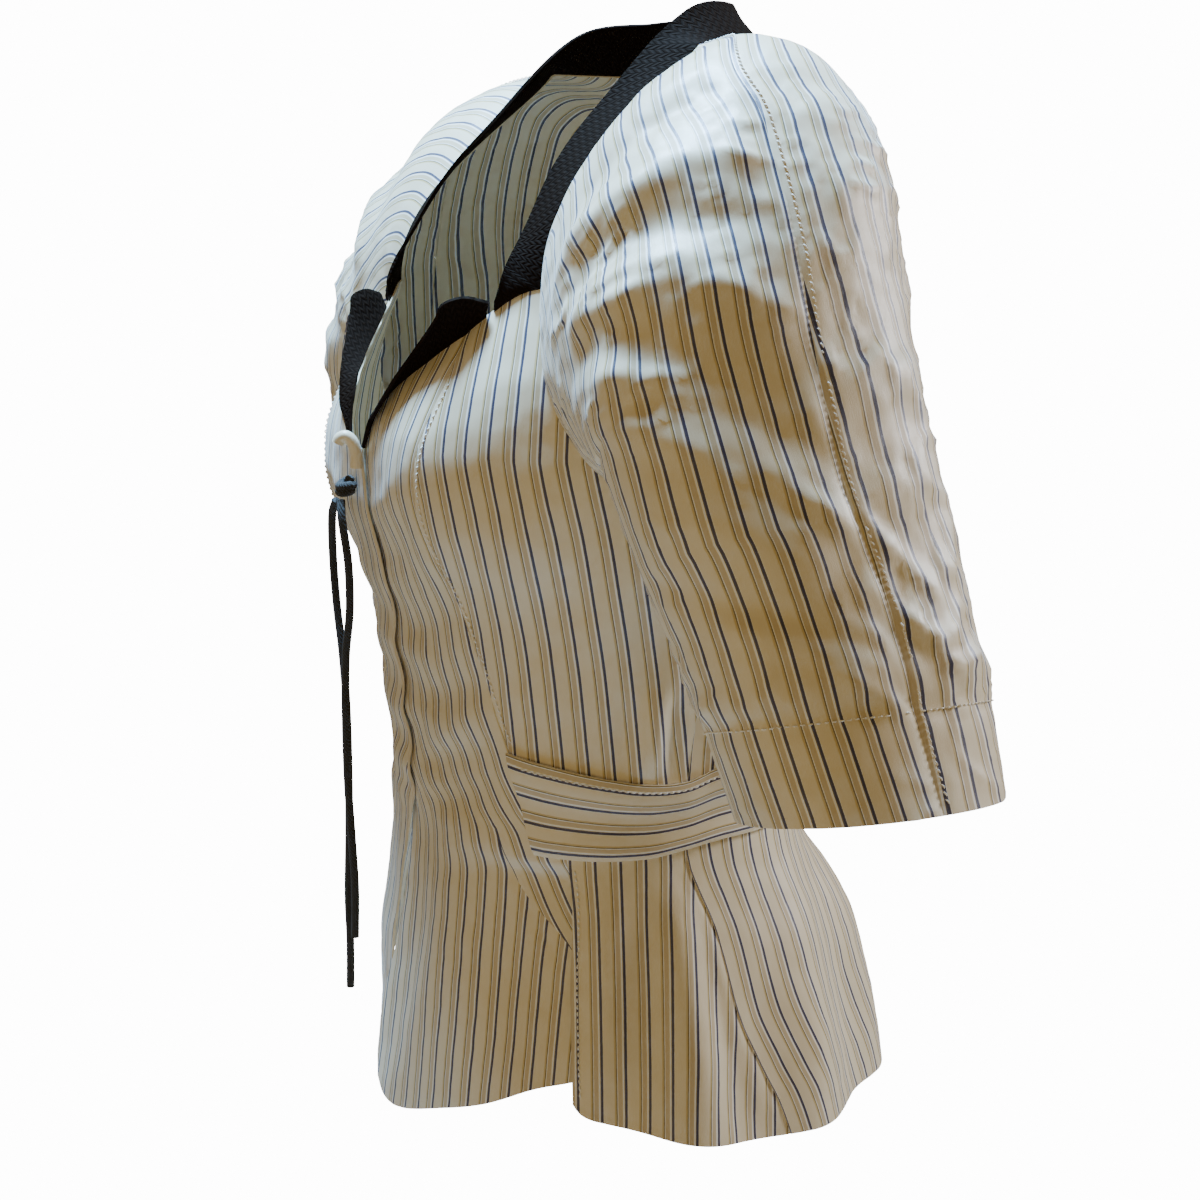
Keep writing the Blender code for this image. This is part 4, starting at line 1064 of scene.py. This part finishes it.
zigzag_trim, trim_shader, wire = new_material("black zigzag trim", (0.014, 0.015, 0.017, 1), 0.7)
along, across = cloth_directions(wire)
step = ((along / ZIGZAG_WIDE).maths("FRACT") - 0.5).maths("ABSOLUTE") * 2.0
shelf = (across / ZIGZAG_TALL + step * 0.9).maths("FRACT")
ridge = 1.0 - (shelf - 0.5).maths("ABSOLUTE") * 2.0
break_line = ((along / ZIGZAG_WIDE * 2.0).maths("FRACT") - 0.5).maths("ABSOLUTE") * 2.0
relief = ridge.maths("POWER", 0.6) * (1.0 - break_line.maths("POWER", 6.0) * 0.7)
thread = thread_noise(along * 1800.0, across * 900.0)
feed(trim_shader, "Normal", (relief + thread * 0.25).bump(0.0007, 0.7))
# The colour is lighter on the raised zigzag rows and darker in the grooves between them, which is
# painted shade, mixed with the thread's own uneven tone.
feed(trim_shader, "Base Color", (relief * 0.7 + thread * 0.3).mixed(
    (0.0045, 0.0026, 0.0017, 1), (0.0135, 0.0078, 0.0051, 1)))
feed(trim_shader, "Roughness", 0.85 - relief * 0.15)
trim_shader.inputs["Specular IOR Level"].default_value = 0.02


def neck_point(table, degrees):
    return body_surface(math.radians(degrees), smooth_value(table, degrees, 1))


def neckline_points():
    """The left half of the collar's seam, from the notch to the centre back."""
    points = []
    for step in range(7):
        degrees = NOTCH_DEGREES + (NECK_NOTCH - NOTCH_DEGREES) * step / 7
        points.append(neck_point(NECK_FRONT, degrees))
    points += section_line(0, True)[0][::-1] + section_line(0, False)[0][1:]
    for step in range(1, 13):
        degrees = BACK_NECK_START + (180.0 - BACK_NECK_START) * step / 12
        points.append(neck_point(BACK_NECK, degrees))
    return points


def trim_piece(name, node, counts, seam, walked, inner_edge, reach_at, along_at, mirrored):
    """A strip of trim from the seam that holds it to its own inner edge. reach_at gives how
    far along the seam a column is, and its side; along_at the same on the cloth."""

    def seam_at(share):
        reach, side = reach_at(share)
        outer = polyline_at(seam, walked, reach * walked[-1])
        return [Vector((p.x * side, p.y, p.z)) for p in (outer, smooth_point(inner_edge, reach))]

    def place(share, rise):
        outer, inner = seam_at(share)
        return outer.lerp(inner, rise * (1 + TRIM_LAP) - TRIM_LAP)

    def weave(share, rise, point):
        return (along_at(share) * walked[-1], (point - seam_at(share)[0]).length)

    cloth_piece(name, node, counts, place, weave, trim_lift, mirrored,
                TRIM_WALL, zigzag_trim, up_and_in)


def trim_lift(share, rise, point):
    return 0.0006 * math.exp(-(rise / 0.20) ** 2) - 0.0007 * math.exp(-((1 - rise) / 0.12) ** 2)


def up_and_in(point):
    return Vector((-point.x, -point.y - 0.02, 0.06))


neckline = neckline_points()
trim_piece("collar_band", "collar", (220, 12), neckline, walk(neckline),
           COLLAR_INNER, lambda share: (1 - abs(share * 2 - 1), 1 if share <= 0.5 else -1),
           lambda share: (share - 0.5) * 2, False)


def make_lapel(hand, edge_seam, over):
    """One lapel's trim: its seam is the front's own neckline."""
    edge = []
    for share in (0.16 + 0.84 * step / 24 for step in range(25)):
        def angle_at(z, share=share):
            start, end = seam_angle(edge_seam, z), seam_angle(PRINCESS_SEAM, z)
            return start + (end - start) * share

        z = neck_top(angle_at)
        angle = angle_at(z)
        raised = lap_height(angle) if over else 0.0
        edge.append(body_surface(angle, z) + body_normal(angle, z) * raised)
    edge.append(neck_point(NECK_FRONT, LAPEL_END_DEGREES))
    trim_piece(hand + "_lapel_trim", "lapel_" + hand, (60, 10), edge, walk(edge),
               LAPEL_INNER, lambda share: (share, 1), lambda share: share, over)


make_lapel("left", LEFT_FRONT_EDGE, False)
make_lapel("right", RIGHT_FRONT_EDGE, True)

# The tab: the end of the closing edge's binding, rolled on itself and turned forward at
# the top of the overlap, above the tie.
TAB_RADIUS = 0.0031
# x, y, z of the middle of the roll, from its turned end
TAB_LINE = in_metres((0, 1, 2),
    (6.8, -145, -197.8), (7.4, -143.8, -195.2), (8.8, -141.2, -194.4), (10.1, -138.6, -197.2),
    (10.7, -137.1, -203), (10.6, -137.2, -210))
tab_line = smooth_line(TAB_LINE, 41)
tab = tube_mesh(tab_line, TAB_RADIUS, 20)
tab_uv = tab.loops.layers.uv.new("cloth")
for face in tab.faces:
    for loop in face.loops:
        beside = loop.vert.co - min(tab_line, key=lambda p: (p - loop.vert.co).length)
        loop[tab_uv].uv = (PLAIN_GROUND + beside.x * 0.8, loop.vert.co.z)
finish_piece("binding_tab", tab, striped_cotton, "neck_tab")

# Where it stands: the pale floor under the stand that it is worn on, in a pale room lit
# from above and behind by cool daylight, and by a warmer and weaker light on the near side.
FLOOR_Z, FLOOR_RADIUS = -1.42, 1.05
floor = bmesh.new()
bmesh.ops.create_circle(floor, cap_ends=True, segments=96, radius=FLOOR_RADIUS,
                        matrix=Matrix.Translation((0, 0, FLOOR_Z)))
floor_mesh = bpy.data.meshes.new("floor")
floor.to_mesh(floor_mesh)
floor.free()
floor_paint, _, _ = new_material("pale floor", (0.86, 0.86, 0.86, 1), 0.9)
floor_mesh.materials.append(floor_paint)
floor_disc = bpy.data.objects.new("floor", floor_mesh)
bpy.context.scene.collection.objects.link(floor_disc)

world = bpy.data.worlds.new("pale room")
world.use_nodes = True
room = Wire(world.node_tree)
seen_directly = room.node("ShaderNodeLightPath", {}, {}, "Is Camera Ray")
fill = room.node("ShaderNodeBackground", {}, {"Color": (1.0, 0.74, 0.36, 1), "Strength": 0.25})
pale = room.node("ShaderNodeBackground", {}, {"Color": (1, 1, 1, 1), "Strength": 14.0})
shown = room.node("ShaderNodeMixShader", {}, {0: seen_directly, 1: fill, 2: pale})
room.tree.links.new(shown.socket, room.tree.nodes["World Output"].inputs["Surface"])
bpy.context.scene.world = world

LIT_POINT = Vector((0.05, 0, -0.25))
# name, place, size, power, colour
LIGHTS = (
    ("overhead", (-0.32, -0.14, 1.30), 0.46, 185.0, (0.38, 0.66, 1.0)),
    ("front left", (-0.90, -1.20, 0.90), 0.7, 1.6, (0.66, 0.80, 1.0)),
    ("behind", (0.45, 1.60, 0.40), 0.5, 36.0, (0.90, 0.92, 1.0)),
    ("near side", (1.20, -1.50, -0.50), 1.4, 5.2, (1.0, 0.74, 0.34)),
)
for name, spot, size, power, colour in LIGHTS:
    lamp_data = bpy.data.lights.new(name, "AREA")
    lamp_data.shape = "DISK"
    lamp_data.size = size
    lamp_data.energy = power
    lamp_data.color = colour
    lamp = bpy.data.objects.new(name, lamp_data)
    lamp.location = spot
    aim = LIT_POINT - Vector(spot)
    lamp.rotation_euler = aim.to_track_quat("-Z", "Y").to_euler()
    bpy.context.scene.collection.objects.link(lamp)
